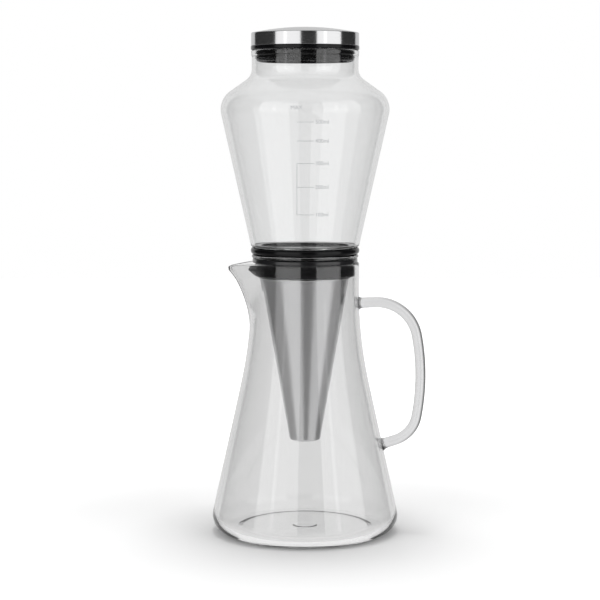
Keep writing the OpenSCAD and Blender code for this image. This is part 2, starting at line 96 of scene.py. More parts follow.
def deselect() -> None:
    """Leaves nothing selected, so that the next operator acts on its own mesh alone."""
    if bpy.context.object and bpy.context.object.mode != "OBJECT":
        bpy.ops.object.mode_set(mode="OBJECT")
    bpy.ops.object.select_all(action="DESELECT")


def fillet(a: Point, b: Point, c: Point, radius: float, steps: int) -> list[Point]:
    """Rounds one corner of an outline.

    Args:
        a: The point before the corner.
        b: The corner.
        c: The point after the corner.
        radius: The rounding, in millimetres.
        steps: How many segments the arc gets.

    Returns:
        The points of the arc, in the outline's order.
    """
    to_a = (Vector(a) - Vector(b)).normalized()
    to_c = (Vector(c) - Vector(b)).normalized()
    opening = math.acos(max(-1.0, min(1.0, to_a.dot(to_c))))
    centre = Vector(b) + (to_a + to_c).normalized() * radius / math.sin(opening / 2)
    arm = Vector(b) + to_a * radius / math.tan(opening / 2) - centre
    turn = math.pi - opening
    if to_a.x * to_c.y - to_a.y * to_c.x > 0:
        turn = -turn
    points = []
    for i in range(steps + 1):
        angle = turn * i / steps
        points.append(
            (
                centre.x + arm.x * math.cos(angle) - arm.y * math.sin(angle),
                centre.y + arm.x * math.sin(angle) + arm.y * math.cos(angle),
            )
        )
    return points


def trace(knots: Sequence[Knot], closed: bool, longest: float = 6.0) -> list[Point]:
    """Turns knots into the points of an outline.

    Args:
        knots: Radius, height and rounding of each corner.
        closed: True where the outline joins its start, as for a ring.
        longest: The longest straight segment that is left whole.

    Returns:
        The outline's points.
    """
    corners: list[Point] = []
    count = len(knots)
    for i, (r, z, rounding) in enumerate(knots):
        if rounding <= 0 or (not closed and i in (0, count - 1)):
            corners.append((r, z))
            continue
        before, after = knots[i - 1], knots[(i + 1) % count]
        steps = CORNER_STEPS
        if rounding > SWEEP_FROM:
            steps = SWEEP_STEPS
        elif rounding < EDGE_BELOW:
            steps = EDGE_STEPS
        corners += fillet(before[:2], (r, z), after[:2], rounding, steps)
    points: list[Point] = []
    last = len(corners) if closed else len(corners) - 1
    for i in range(last):
        (r0, z0), (r1, z1) = corners[i], corners[(i + 1) % len(corners)]
        parts = max(1, math.ceil(math.hypot(r1 - r0, z1 - z0) / longest))
        points += [(r0 + (r1 - r0) * k / parts, z0 + (z1 - z0) * k / parts) for k in range(parts)]
    if not closed:
        points.append(corners[-1])
    return points


def close_up(piece: Piece, smooth_deg: float) -> Piece:
    """Merges seams and poles, points the faces outward and smooths the piece.

    Args:
        piece: The piece, in edit mode.
        smooth_deg: Edges that turn less than this are smooth.

    Returns:
        The piece, in object mode.
    """
    bpy.ops.mesh.select_all(action="SELECT")
    bpy.ops.mesh.remove_doubles(threshold=MERGE_M)
    bpy.ops.mesh.normals_make_consistent(inside=False)
    bpy.ops.object.mode_set(mode="OBJECT")
    bpy.ops.object.shade_smooth_by_angle(angle=math.radians(smooth_deg))
    return piece


def lathe(
    name: str,
    knots: Sequence[Knot],
    closed: bool = False,
    steps: int = 192,
    longest: float = 6.0,
    smooth_deg: float = 40.0,
) -> Piece:
    """Turns an outline round the maker's axis: a point is extruded along it, then spun.

    Args:
        name: The piece's name.
        knots: Radius, height and rounding of each corner, in millimetres.
        closed: True for a ring, False where both ends lie on the axis.
        steps: Segments round the axis.
        longest: The longest straight segment of the outline.
        smooth_deg: Edges that turn less than this are smooth.

    Returns:
        The finished, closed piece.
    """
    points = trace(knots, closed, longest)
    deselect()
    bpy.ops.mesh.primitive_plane_add(size=MM, location=(0, 0, 0))
    piece = bpy.context.object
    piece.name = piece.data.name = name
    bpy.ops.object.mode_set(mode="EDIT")
    bpy.ops.mesh.select_all(action="SELECT")
    bpy.ops.mesh.merge(type="CENTER")
    bpy.ops.transform.translate(value=(points[0][0] * MM, 0, points[0][1] * MM))
    for (r0, z0), (r1, z1) in zip(points, points[1:]):
        step = ((r1 - r0) * MM, 0, (z1 - z0) * MM)
        bpy.ops.mesh.extrude_region_move(TRANSFORM_OT_translate={"value": step})
    if closed:
        mesh = bmesh.from_edit_mesh(piece.data)
        for vertex in mesh.verts:
            vertex.select = len(vertex.link_edges) == 1
        bmesh.update_edit_mesh(piece.data)
        bpy.ops.mesh.edge_face_add()
    bpy.ops.mesh.select_all(action="SELECT")
    bpy.ops.mesh.spin(steps=steps, angle=2 * math.pi, center=(0, 0, 0), axis=(0, 0, 1))
    return close_up(piece, smooth_deg)


@dataclass(frozen=True)
class Ring:
    """One cross-section of a rod that lies in the XZ plane."""

    x: float
    z: float
    heading_deg: float
    radius: float

    def place(self, angle: float) -> Vector:
        """Returns the ring's point at an angle round the rod, in metres."""
        side = math.radians(self.heading_deg + 90)
        out = self.radius * math.cos(angle)
        x, z = self.x + out * math.cos(side), self.z + out * math.sin(side)
        return Vector((x, self.radius * math.sin(angle), z)) * MM


def sweep(name: str, rings: Sequence[Ring], sides: int) -> Piece:
    """Extrudes a circle along a row of rings and closes both ends.

    Args:
        name: The piece's name.
        rings: The cross-sections, in order.
        sides: Segments round the rod.

    Returns:
        The finished, closed rod.
    """
    deselect()
    bpy.ops.mesh.primitive_circle_add(vertices=sides, radius=rings[0].radius * MM, fill_type="NGON")
    piece = bpy.context.object
    piece.name = piece.data.name = name
    bpy.ops.object.mode_set(mode="EDIT")
    bpy.ops.mesh.select_all(action="SELECT")
    mesh = bmesh.from_edit_mesh(piece.data)
    angles = [math.atan2(v.co.y, v.co.x) for v in mesh.verts]
    for vertex, angle in zip(mesh.verts, angles):
        vertex.co = rings[0].place(angle)
    bmesh.update_edit_mesh(piece.data)
    for before, ring in zip(rings, rings[1:]):
        bpy.ops.mesh.extrude_region_move(TRANSFORM_OT_translate={"value": (0, 0, 0)})
        mesh = bmesh.from_edit_mesh(piece.data)
        chosen = [v for v in mesh.verts if v.select]
        centre = Vector((before.x, 0, before.z)) * MM
        side = math.radians(before.heading_deg + 90)
        out = Vector((math.cos(side), 0, math.sin(side)))
        for vertex in chosen:
            arm = vertex.co - centre
            vertex.co = ring.place(math.atan2(arm.y, arm.dot(out)))
        bmesh.update_edit_mesh(piece.data)
    return close_up(piece, 50.0)


def pull_beak(
    piece: Piece,
    radius_of: Callable[[float, float], float],
    reach_of: Callable[[float], float],
    blunt: float,
) -> None:
    """Pulls a round wall out toward -X into a beak with straight flanks and a rounded tip.

    Args:
        piece: The turned piece.
        radius_of: Gives the wall's radius that a point belongs to, or 0 to leave it, from its
            radius and height in millimetres.
        reach_of: Gives how far the tip stands out at a height.
        blunt: Half the angle, in radians, over which the tip is rounded.
    """
    for vertex in piece.data.vertices:
        x, y, z = (c / MM for c in vertex.co)
        r = math.hypot(x, y)
        wall = radius_of(r, z)
        reach = reach_of(z)
        if wall <= 0 or reach <= 0 or x >= 0:
            continue
        touch = math.acos(wall / (wall + reach)) + blunt
        lean = touch - math.sqrt(math.atan2(y, -x) ** 2 + blunt**2)
        if lean > 0:
            vertex.co.x *= 1 / math.cos(lean)
            vertex.co.y *= 1 / math.cos(lean)


# ---- Materials ----


class Graph:
    """A node tree with short calls for adding and linking nodes."""

    def __init__(self, tree: Tree) -> None:
        """Keeps the tree."""
        self.tree = tree

    def add(self, kind: str, **settings: object) -> Node:
        """Adds a node.

        Args:
            kind: The node's type.
            settings: Its properties.

        Returns:
            The new node.
        """
        node = self.tree.nodes.new(kind)
        for key, value in settings.items():
            setattr(node, key, value)
        return node

    def math(self, operation: str, a: object, b: object = 0.0, clamp: bool = False) -> Socket:
        """Adds a math node on two numbers or sockets and returns its output."""
        node = self.add("ShaderNodeMath", operation=operation, use_clamp=clamp)
        for index, value in enumerate((a, b)):
            self.feed(node.inputs[index], value)
        return node.outputs[0]

    def feed(self, socket: Socket, value: object) -> None:
        """Links a socket to an input, or sets the input's own value."""
        if isinstance(value, Socket):
            self.tree.links.new(value, socket)
        else:
            socket.default_value = value

    def step(self, value: object, low: float, high: float, out: Point = (0.0, 1.0)) -> Socket:
        """Adds a smooth step from out[0] below low to out[1] above high."""
        node = self.add("ShaderNodeMapRange", interpolation_type="SMOOTHSTEP")
        names = ("Value", "From Min", "From Max", "To Min", "To Max")
        for name, item in zip(names, (value, low, high, *out)):
            self.feed(node.inputs[name], item)
        return node.outputs[0]

    def either(self, choice: Socket, no: object, yes: object) -> Socket:
        """Returns no where choice is 0 and yes where it is 1."""
        node = self.add("ShaderNodeMix", data_type="FLOAT")
        for socket, value in zip((node.inputs[0], *node.inputs[2:4]), (choice, no, yes)):
            self.feed(socket, value)
        return node.outputs[0]

    def blend(self, choice: Socket, no: Node, yes: Node) -> Node:
        """Returns the shader no where choice is 0 and the shader yes where it is 1."""
        mix = self.add("ShaderNodeMixShader")
        self.feed(mix.inputs[0], choice)
        self.feed(mix.inputs[1], no.outputs[0])
        self.feed(mix.inputs[2], yes.outputs[0])
        return mix

    def split(self, coordinates: str) -> Node:
        """Returns the X, Y and Z of a kind of texture coordinates."""
        source = self.add("ShaderNodeTexCoord")
        split = self.add("ShaderNodeSeparateXYZ")
        self.feed(split.inputs[0], source.outputs[coordinates])
        return split

    def path(self, kind: str) -> Socket:
        """Returns 1 for light that has made a bounce of a kind before, and 0 for other light."""
        return self.math("GREATER_THAN", self.add("ShaderNodeLightPath").outputs[kind], 0.5)

    def noise(self, stretch: Triple, detail: float, seed: float) -> Socket:
        """Adds noise on Object coordinates.

        Args:
            stretch: Cells per metre along X, Y and Z.
            detail: The noise's detail.
            seed: Moves the pattern, so that two noises differ.

        Returns:
            The noise's value.
        """
        coordinates = self.add("ShaderNodeTexCoord")
        mapping = self.add("ShaderNodeMapping")
        mapping.inputs["Location"].default_value = (seed, seed * 1.7, seed * 0.6)
        mapping.inputs["Scale"].default_value = stretch
        node = self.add("ShaderNodeTexNoise")
        node.inputs["Scale"].default_value = 1.0
        node.inputs["Detail"].default_value = detail
        self.tree.links.new(coordinates.outputs["Object"], mapping.inputs["Vector"])
        self.tree.links.new(mapping.outputs["Vector"], node.inputs["Vector"])
        return node.outputs[0]


def new_group(
    name: str, inputs: dict[str, float], outputs: Sequence[str]
) -> tuple[Graph, Node, Node]:
    """Makes an empty shader node group.

    Args:
        name: The group's name.
        inputs: Name and default of each number that goes in.
        outputs: Name of each number that comes out.

    Returns:
        The group's graph, its input node and its output node.
    """
    tree = bpy.data.node_groups.new(name, "ShaderNodeTree")
    kind = "NodeSocketFloat"
    for key, value in inputs.items():
        socket = tree.interface.new_socket(key, in_out="INPUT", socket_type=kind)
        socket.default_value = value
    for key in outputs:
        tree.interface.new_socket(key, in_out="OUTPUT", socket_type=kind)
    graph = Graph(tree)
    return graph, graph.add("NodeGroupInput"), graph.add("NodeGroupOutput")


def grain_group() -> Tree:
    """Builds the fine lines that brushing or turning leaves round the axis.

    Returns:
        A group with Depth in, and Tone, near 1, and Height out.
    """
    graph, start, end = new_group("turned_grain", {"Depth": 0.1}, ("Tone", "Height"))
    fine_share = 0.65
    fine = graph.math("MULTIPLY", graph.noise((60.0, 60.0, 5200.0), 2.0, 3.1), fine_share)
    broad = graph.math("MULTIPLY", graph.noise((25.0, 25.0, 900.0), 2.0, 7.7), 1 - fine_share)
    lines = graph.math("ADD", fine, broad)
    centred = graph.math("SUBTRACT", lines, 0.5)
    swing = graph.math("MULTIPLY", centred, start.outputs["Depth"])
    graph.feed(end.inputs["Tone"], graph.math("ADD", 1.0, swing))
    graph.feed(end.inputs["Height"], lines)
    return graph.tree


def handling_group() -> Tree:
    """Builds the soft smudges that handling leaves.

    Returns:
        A group with Amount in, and Shift, round 0, out.
    """
    graph, start, end = new_group("handling", {"Amount": 0.05}, ("Shift",))
    cloud = graph.math("SUBTRACT", graph.noise((28.0, 28.0, 34.0), 4.0, 11.3), 0.5)
    graph.feed(end.inputs["Shift"], graph.math("MULTIPLY", cloud, start.outputs["Amount"]))
    return graph.tree


def pebble_group() -> Tree:
    """Builds the fine matte texture of moulded rubber and plastic.

    Returns:
        A group that puts out Height and Tone.
    """
    graph, _start, end = new_group("moulded_pebble", {}, ("Height", "Tone"))
    fine = graph.noise((2600.0, 2600.0, 2600.0), 2.0, 5.9)
    broad = graph.noise((55.0, 55.0, 55.0), 3.0, 2.2)
    graph.feed(end.inputs["Height"], fine)
    graph.feed(end.inputs["Tone"], graph.step(broad, 0.3, 0.7, (0.8, 1.2)))
    return graph.tree


class Shop:
    """Holds the shared node groups and starts materials."""

    def __init__(self) -> None:
        """Builds each shared group once."""
        self.grain = grain_group()
        self.handling = handling_group()
        self.pebble = pebble_group()

    @staticmethod
    def start(name: str) -> tuple[Material, Graph, Node, Socket]:
        """Starts a material.

        Args:
            name: The material's name.

        Returns:
            The material, its graph, its shader and the socket that its surface goes to.
        """
        material = bpy.data.materials.new(name)
        material.use_nodes = True
        nodes = material.node_tree.nodes
        surface = nodes["Material Output"].inputs["Surface"]
        return material, Graph(material.node_tree), nodes["Principled BSDF"], surface

    @staticmethod
    def place(graph: Graph, tree: Tree, **values: float) -> Node:
        """Places a shared group in a material with its own values.

        Args:
            graph: The material's graph.
            tree: The group.
            values: The group's inputs.

        Returns:
            The group's node.
        """
        node = graph.add("ShaderNodeGroup", node_tree=tree)
        for key, value in values.items():
            node.inputs[key].default_value = value
        return node

    def handled(self, graph: Graph, shader: Node, roughness: float, amount: float) -> Socket:
        """Gives a shader its roughness with smudges on it.

        Args:
            graph: The material's graph.
            shader: The Principled shader.
            roughness: The clean surface's roughness.
            amount: How strong the smudges are.

        Returns:
            The smudges' shift.
        """
        smudge = self.place(graph, self.handling, Amount=amount).outputs["Shift"]
        graph.feed(shader.inputs["Roughness"], graph.math("ADD", roughness, smudge, clamp=True))
        return smudge

    @staticmethod
    def toned(graph: Graph, colour: Triple, tone: Socket) -> Socket:
        """Returns a colour multiplied by a tone near 1."""
        mix = graph.add("ShaderNodeVectorMath", operation="SCALE")
        mix.inputs[0].default_value = colour
        graph.feed(mix.inputs["Scale"], tone)
        return mix.outputs[0]

    @staticmethod
    def bumped(graph: Graph, shader: Node, height: Socket, strength: float, depth: float) -> None:
        """Feeds a height to the shader's normal.

        Args:
            graph: The material's graph.
            shader: The Principled shader.
            height: The height, from 0 to 1.
            strength: The bump's strength.
            depth: The real depth of the bump, in metres.
        """
        bump = graph.add("ShaderNodeBump")
        bump.inputs["Strength"].default_value = strength
        bump.inputs["Distance"].default_value = depth
        graph.feed(bump.inputs["Height"], height)
        graph.feed(shader.inputs["Normal"], bump.outputs["Normal"])


@dataclass(frozen=True)
class ClearGlass:
    """Blown borosilicate glass, a little uneven, that lets the lamps through."""

    name: str
    tint: Triple = (0.905, 0.907, 0.907)
    # Strength of the painted dark reflection line along the rim on the side facing +X; 0 paints
    # none.
    edge: float = 0.0
    painted_rim_band: Point = (0.6, 1.0)
    painted_rim_gain: float = 1.4
    ior: float = 1.47
    roughness: float = 0.012
    smudges: float = 0.02
    shadow: float = 0.66
    ripple: float = 0.35
    ripple_m: float = 0.00003
    ripple_cells: Triple = (16.0, 16.0, 7.0)

    def make(self, shop: Shop) -> Material:
        """Builds the material from the shop's groups."""
        material, graph, shader, surface = shop.start(self.name)
        shader.inputs["IOR"].default_value = self.ior
        shader.inputs["Transmission Weight"].default_value = 1.0
        smudge = shop.handled(graph, shader, self.roughness, self.smudges)
        tone = self.tone(graph, smudge)
        graph.feed(shader.inputs["Base Color"], shop.toned(graph, self.tint, tone))
        ripples = graph.noise(self.ripple_cells, 1.0, 1.3)
        shop.bumped(graph, shader, ripples, self.ripple, self.ripple_m)
        clear = graph.add("ShaderNodeBsdfTransparent")
        clear.inputs["Color"].default_value = (self.shadow, self.shadow, self.shadow, 1.0)
        shadow_ray = graph.add("ShaderNodeLightPath").outputs["Is Shadow Ray"]
        graph.feed(surface, graph.blend(shadow_ray, shader, clear).outputs[0])
        return material

    def tone(self, graph: Graph, smudge: Socket) -> Socket:
        """Paints a dark reflection line into the glass's colour where it turns away from the eye on
        the side that faces +X.

        Args:
            graph: The material's graph.
            smudge: The smudges' shift.

        Returns:
            The tone that the tint is multiplied by: the painted dark reflection line and the
                smudges.
        """
        facing = graph.add("ShaderNodeLayerWeight").outputs["Facing"]
        # Painted dark reflection: a band near the outline darkens the colour, strongest where the
        # normal faces +X.
        rim = graph.step(facing, *self.painted_rim_band, (0.0, self.edge))
        normal = graph.split("Normal").outputs
        outward = graph.math("MULTIPLY", normal["X"], self.painted_rim_gain, clamp=True)
        tone = graph.math("SUBTRACT", 1.0, graph.math("MULTIPLY", rim, outward))
        return graph.math("ADD", tone, smudge, clamp=True)


@dataclass(frozen=True)
class Steel:
    """Stainless steel brushed or turned round the axis."""

    name: str
    colour: Triple
    roughness: float
    anisotropy: float
    grain: float
    groove: float
    groove_m: float = 0.00002
    band_turn: float = 0.25
    smudges: float = 0.08

    def make(self, shop: Shop) -> Material:
        """Builds the material from the shop's groups."""
        material, graph, shader, _surface = shop.start(self.name)
        shader.inputs["Metallic"].default_value = 1.0
        shader.inputs["Anisotropic"].default_value = self.anisotropy
        shader.inputs["Anisotropic Rotation"].default_value = self.band_turn
        shop.handled(graph, shader, self.roughness, self.smudges)
        lines = shop.place(graph, shop.grain, Depth=self.grain).outputs
        graph.feed(shader.inputs["Base Color"], shop.toned(graph, self.colour, lines["Tone"]))
        tangent = graph.add("ShaderNodeTangent", direction_type="RADIAL", axis="Z")
        graph.feed(shader.inputs["Tangent"], tangent.outputs[0])
        shop.bumped(graph, shader, lines["Height"], self.groove, self.groove_m)
        return material


@dataclass(frozen=True)
class WovenMesh:
    """Fine stainless cloth that lines the cone."""

    colour: Triple = (0.5, 0.5, 0.51)
    roughness: float = 0.4
    wires_round: float = 420.0
    wires_per_metre: float = 2100.0
    gap_tone: float = 0.35
    weave: float = 0.5
    wire_m: float = 0.00005
    smudges: float = 0.1

    def make(self, shop: Shop) -> Material:
        """Builds the material from the shop's groups."""
        material, graph, shader, _surface = shop.start("steel_mesh")
        shader.inputs["Metallic"].default_value = 1.0
        place = graph.split("Object").outputs
        round_axis = graph.math("ARCTAN2", place["Y"], place["X"])
        warp = graph.math("SINE", graph.math("MULTIPLY", round_axis, self.wires_round))
        turns = graph.math("MULTIPLY", place["Z"], self.wires_per_metre * 2 * math.pi)
        weave = graph.math("ABSOLUTE", graph.math("MULTIPLY", warp, graph.math("SINE", turns)))
        smudge = shop.handled(graph, shader, self.roughness, self.smudges)
        tone = graph.math("ADD", graph.step(weave, 0.0, 0.6, (self.gap_tone, 1.0)), smudge)
        graph.feed(shader.inputs["Base Color"], shop.toned(graph, self.colour, tone))
        shop.bumped(graph, shader, weave, self.weave, self.wire_m)
        return material


@dataclass(frozen=True)
class Moulded:
    """Black silicone or plastic as it leaves the mould."""

    name: str
    colour: Triple
    roughness: float
    coat: float
    pebble: float
    shine: float = 0.38
    coat_roughness: float = 0.08
    pebble_m: float = 0.00003
    smudges: float = 0.12

    def make(self, shop: Shop) -> Material:
        """Builds the material from the shop's groups."""
        material, graph, shader, _surface = shop.start(self.name)
        shader.inputs["Specular IOR Level"].default_value = self.shine
        shader.inputs["Coat Weight"].default_value = self.coat
        shader.inputs["Coat Roughness"].default_value = self.coat_roughness
        shop.handled(graph, shader, self.roughness, self.smudges)
        texture = shop.place(graph, shop.pebble).outputs
        graph.feed(shader.inputs["Base Color"], shop.toned(graph, self.colour, texture["Tone"]))
        shop.bumped(graph, shader, texture["Height"], self.pebble, self.pebble_m)
        return material


@dataclass(frozen=True)
class ScaleInk:
    """Pale grey ink of the printed scale, a little thin in places."""

    colour: Triple = (0.4, 0.41, 0.42)
    tones: Point = (0.9, 1.15)
    roughness: Point = (0.4, 0.6)
    wear_cells: float = 900.0

    def make(self, shop: Shop) -> Material:
        """Builds the material from the shop's groups."""
        material, graph, shader, _surface = shop.start("scale_ink")
        wear = graph.noise((self.wear_cells,) * 3, 3.0, 4.4)
        tone = graph.step(wear, 0.2, 0.8, self.tones)
        graph.feed(shader.inputs["Base Color"], shop.toned(graph, self.colour, tone))
        graph.feed(shader.inputs["Roughness"], graph.step(wear, 0.2, 0.8, self.roughness))
        return material


@dataclass(frozen=True)
class Palette:
    """Every finished material of the maker."""

    tower_glass: Material
    carafe_glass: Material
    rod_glass: Material
    lid_steel: Material
    cone_steel: Material
    valve_steel: Material
    mesh: Material
    silicone: Material
    ring_rubber: Material
    plastic: Material
    ink: Material

    @classmethod
    def mix(cls) -> "Palette":
        """Builds all materials round one set of shared groups."""
        shop = Shop()
        return cls(
            tower_glass=ClearGlass("tower_glass").make(shop),
            carafe_glass=ClearGlass("carafe_glass", tint=(0.85, 0.85, 0.85)).make(shop),
            rod_glass=ClearGlass(
                "rod_glass",
                tint=(0.72, 0.72, 0.725),
                # A painted dark reflection line along the rod's rim, darkest on its +X side.
                edge=0.93,
                painted_rim_band=(0.06, 0.3),
            ).make(shop),
            lid_steel=Steel(
                "lid_steel",
                colour=(0.6, 0.6, 0.605),
                roughness=0.17,
                anisotropy=0.75,
                grain=0.1,
                groove=0.12,
            ).make(shop),
            cone_steel=Steel(
                "cone_steel",
                colour=(0.72, 0.72, 0.725),
                roughness=0.3,
                anisotropy=0.4,
                grain=0.14,
                groove=0.2,
            ).make(shop),
            valve_steel=Steel(
                "valve_steel",
                colour=(0.66, 0.66, 0.67),
                roughness=0.24,
                anisotropy=0.5,
                grain=0.16,
                groove=0.3,
            ).make(shop),
            mesh=WovenMesh().make(shop),
            silicone=Moulded(
                "black_silicone",
                colour=(0.007, 0.007, 0.008),
                roughness=0.24,
                coat=0.0,
                pebble=0.06,
            ).make(shop),
            ring_rubber=Moulded(
                "ring_silicone",
                colour=(0.003, 0.003, 0.0035),
                roughness=0.16,
                coat=0.0,
                pebble=0.04,
                shine=0.2,
            ).make(shop),
            plastic=Moulded(
                "black_plastic",
                colour=(0.008, 0.008, 0.009),
                roughness=0.22,
                coat=0.45,
                pebble=0.04,
            ).make(shop),
            ink=ScaleInk().make(shop),
        )


def dress(piece: Piece, material: Material) -> None:
    """Gives a piece one material."""
    piece.data.materials.clear()
    piece.data.materials.append(material)


def settle(piece: Piece, material: Material, body: Body, slot: Slot, *nodes: str) -> None:
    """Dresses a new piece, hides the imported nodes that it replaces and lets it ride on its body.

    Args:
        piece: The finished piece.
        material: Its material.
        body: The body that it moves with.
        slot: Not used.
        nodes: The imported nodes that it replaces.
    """
    dress(piece, material)
    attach(piece, body.value)
    if nodes:
        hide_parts(*nodes)
    LOG.info("%s: %d faces on %s", piece.name, len(piece.data.polygons), body.value)


# ---- The maker's parts ----


@dataclass
class Carafe:
    """The glass carafe with its pulled spout and its rod handle."""

    height: float = 183.7
    flank_r: float = 65.8
    flank_slope: float = 0.2206
    foot_round: float = 11.0
    neck_r: float = 36.4
    waist_round: float = 290.0
    wall: float = 2.3
    floor: float = 3.2
    punt_r: float = 43.0
    punt_slant: float = 3.0
    punt_round: float = 2.0
    punt_depth: float = 0.9
    lip_round: float = 1.05
    nub_r: float = 7.6
    nub_round: float = 0.4
    nub_h: float = 0.45
    spout_reach: float = 15.4
    spout_drop: float = 2.6
    spout_run: float = 44.0
    spout_curl: float = 1.75
    spout_blunt: float = 0.075
    lip_zone: float = 12.0
    lip_full: float = 10.0
    rod_r: float = 3.5
    rod_x: float = 78.4
    rod_bend: float = 28.0
    rod_low_bend: float = 20.8
    rod_top: float = 156.5
    rod_low: float = 61.2
    rod_lean: float = 10.6
    rod_rise: float = 3.0
    rod_fall: float = 18.0
    rod_sides: int = 40
    bend_steps: int = 24
    root: tuple[Point, ...] = (
        (5.6, 3.5), (3.4, 3.52), (2.0, 3.62), (1.0, 3.85), (0.3, 4.2), (-0.5, 4.7)
    )

    def flank(self, z: float, inset: float = 0.0) -> float:
        """Returns the flank's radius at a height, moved inward by inset."""
        return self.flank_r - inset * math.hypot(1, self.flank_slope) - self.flank_slope * z

    def waist(self, inset: float) -> float:
        """Returns the height where flank and neck would meet, moved inward by inset."""
        return (self.flank(0, inset) - (self.neck_r - inset)) / self.flank_slope

    def reach(self, z: float) -> float:
        """Returns how far the spout stands out at a height."""
        below = (self.height - self.spout_drop - z) / self.spout_run
        return self.spout_reach * max(0.0, 1.0 - max(0.0, below)) ** self.spout_curl

    def glass(self) -> Piece:
        """Shapes the blown body: turned walls, a shallow punt and a pulled spout."""
        bore = self.neck_r - self.wall
        knots = [
            (0, self.punt_depth, 0),
            (self.punt_r, self.punt_depth, self.punt_round),
            (self.punt_r + self.punt_slant, 0, self.punt_round),
            (self.flank(0), 0, self.foot_round),
            (self.neck_r, self.waist(0), self.waist_round),
            (self.neck_r, self.height, self.lip_round),
            (bore, self.height, self.lip_round),
            (bore, self.waist(self.wall), self.waist_round),
            (self.flank(self.floor, self.wall), self.floor, self.foot_round - self.wall),
            (self.nub_r + 2 * self.nub_round, self.floor, self.nub_round),
            (self.nub_r, self.floor + self.nub_round, self.nub_round),
            (0, self.floor + self.nub_h, 0),
        ]
        piece = lathe("carafe_body", knots, steps=256, longest=2.2)
        middle = self.neck_r - self.wall / 2
        low = self.height - self.spout_drop - self.spout_run

        def wall_of(r: float, z: float) -> float:
            """Tells the outer wall from the bore."""
            return 0.0 if z < low else self.neck_r if r > middle else bore

        pull_beak(piece, wall_of, self.reach, self.spout_blunt)
        self.lower_lip(piece)
        return piece

    def lower_lip(self, piece: Piece) -> None:
        """Lets the rim sink toward the spout's tip.

        Args:
            piece: The carafe with its spout pulled.
        """
        start = self.height - self.lip_zone
        for vertex in piece.data.vertices:
            out = math.hypot(vertex.co.x, vertex.co.y) / MM - self.neck_r
            if vertex.co.x < 0 and out > 0 and vertex.co.z / MM > start:
                share = min(1.0, (vertex.co.z / MM - start) / self.lip_full)
                vertex.co.z -= self.spout_drop * MM * min(1.0, out / self.spout_reach) * share

    def bend(self, x: float, z: float, radius: float, first: float, last: float) -> list[Ring]:
        """Returns the rings of a bend of the rod.

        Args:
            x: Distance of the bend's middle from the axis.
            z: Height of the bend's middle.
            radius: The bend's radius at the middle of the rod.
            first: Outward direction at its start, in degrees from +X toward +Z.
            last: Outward direction at its end.

        Returns:
            The rings after the first.
        """
        rings = []
        for i in range(1, self.bend_steps + 1):
            out = first + (last - first) * i / self.bend_steps
            angle = math.radians(out)
            place = (x + radius * math.cos(angle), z + radius * math.sin(angle))
            rings.append(Ring(*place, out - 90, self.rod_r))
        return rings

    def run(self, x: float, z: float, slope: float, heading: float) -> list[Ring]:
        """Returns the rings of a straight end of the rod, from the bend to inside the wall.

        Args:
            x: Distance of the bend's end from the axis.
            z: Height of the bend's end.
            slope: How far the end slopes down to the wall, in degrees.
            heading: Direction of the rod's extrusion there, in degrees.

        Returns:
            The rings, the bend's end first.
        """
        angle = math.radians(slope)
        leaning = self.flank_slope if self.flank(z) > self.neck_r else 0.0
        wall = max(self.neck_r, self.flank(z))
        length = (x - wall) / (math.cos(angle) + leaning * math.sin(angle))
        rings = [Ring(x, z, heading, self.rod_r)]
        for away, radius in self.root:
            along = length - away
            place = (x - along * math.cos(angle), z - along * math.sin(angle))
            rings.append(Ring(*place, heading, radius))
        return rings

    def handle(self) -> Piece:
        """Shapes the solid rod: two bends joined by a long bow, and two fused, swollen roots."""
        angles = (self.rod_lean, self.rod_rise, self.rod_fall)
        lean, rise, fall = (math.radians(angle) for angle in angles)
        both = (self.rod_bend + self.rod_low_bend) * (1 - math.sin(lean))
        bow = (self.rod_top - self.rod_low - both) / (2 * math.sin(lean))
        bow_z = self.rod_top - self.rod_bend - (bow - self.rod_bend) * math.sin(lean)
        high_x = self.rod_x - bow + (bow - self.rod_bend) * math.cos(lean)
        high_z = bow_z + (bow - self.rod_bend) * math.sin(lean)
        low_x = self.rod_x - bow + (bow - self.rod_low_bend) * math.cos(lean)
        low_z = bow_z - (bow - self.rod_low_bend) * math.sin(lean)
        top = self.run(
            high_x - self.rod_bend * math.sin(rise),
            high_z + self.rod_bend * math.cos(rise),
            self.rod_rise,
            self.rod_rise,
        )
        low = self.run(
            low_x + self.rod_low_bend * math.sin(fall),
            low_z - self.rod_low_bend * math.cos(fall),
            self.rod_fall,
            self.rod_fall - 180,
        )
        rings = top[::-1]
        rings += self.bend(high_x, high_z, self.rod_bend, 90 + self.rod_rise, self.rod_lean)
        rings += self.bend(self.rod_x - bow, bow_z, bow, self.rod_lean, -self.rod_lean)
        rings += self.bend(low_x, low_z, self.rod_low_bend, -self.rod_lean, self.rod_fall - 90)
        rings += low[1:]
        return sweep("carafe_rod_handle", rings, self.rod_sides)

    def build(self, palette: Palette) -> None:
        """Builds and dresses the carafe."""
        settle(self.glass(), palette.carafe_glass, Body.CARAFE, Slot.GLASS, "carafe_glass")
        settle(self.handle(), palette.rod_glass, Body.CARAFE, Slot.GLASS, "carafe_handle")


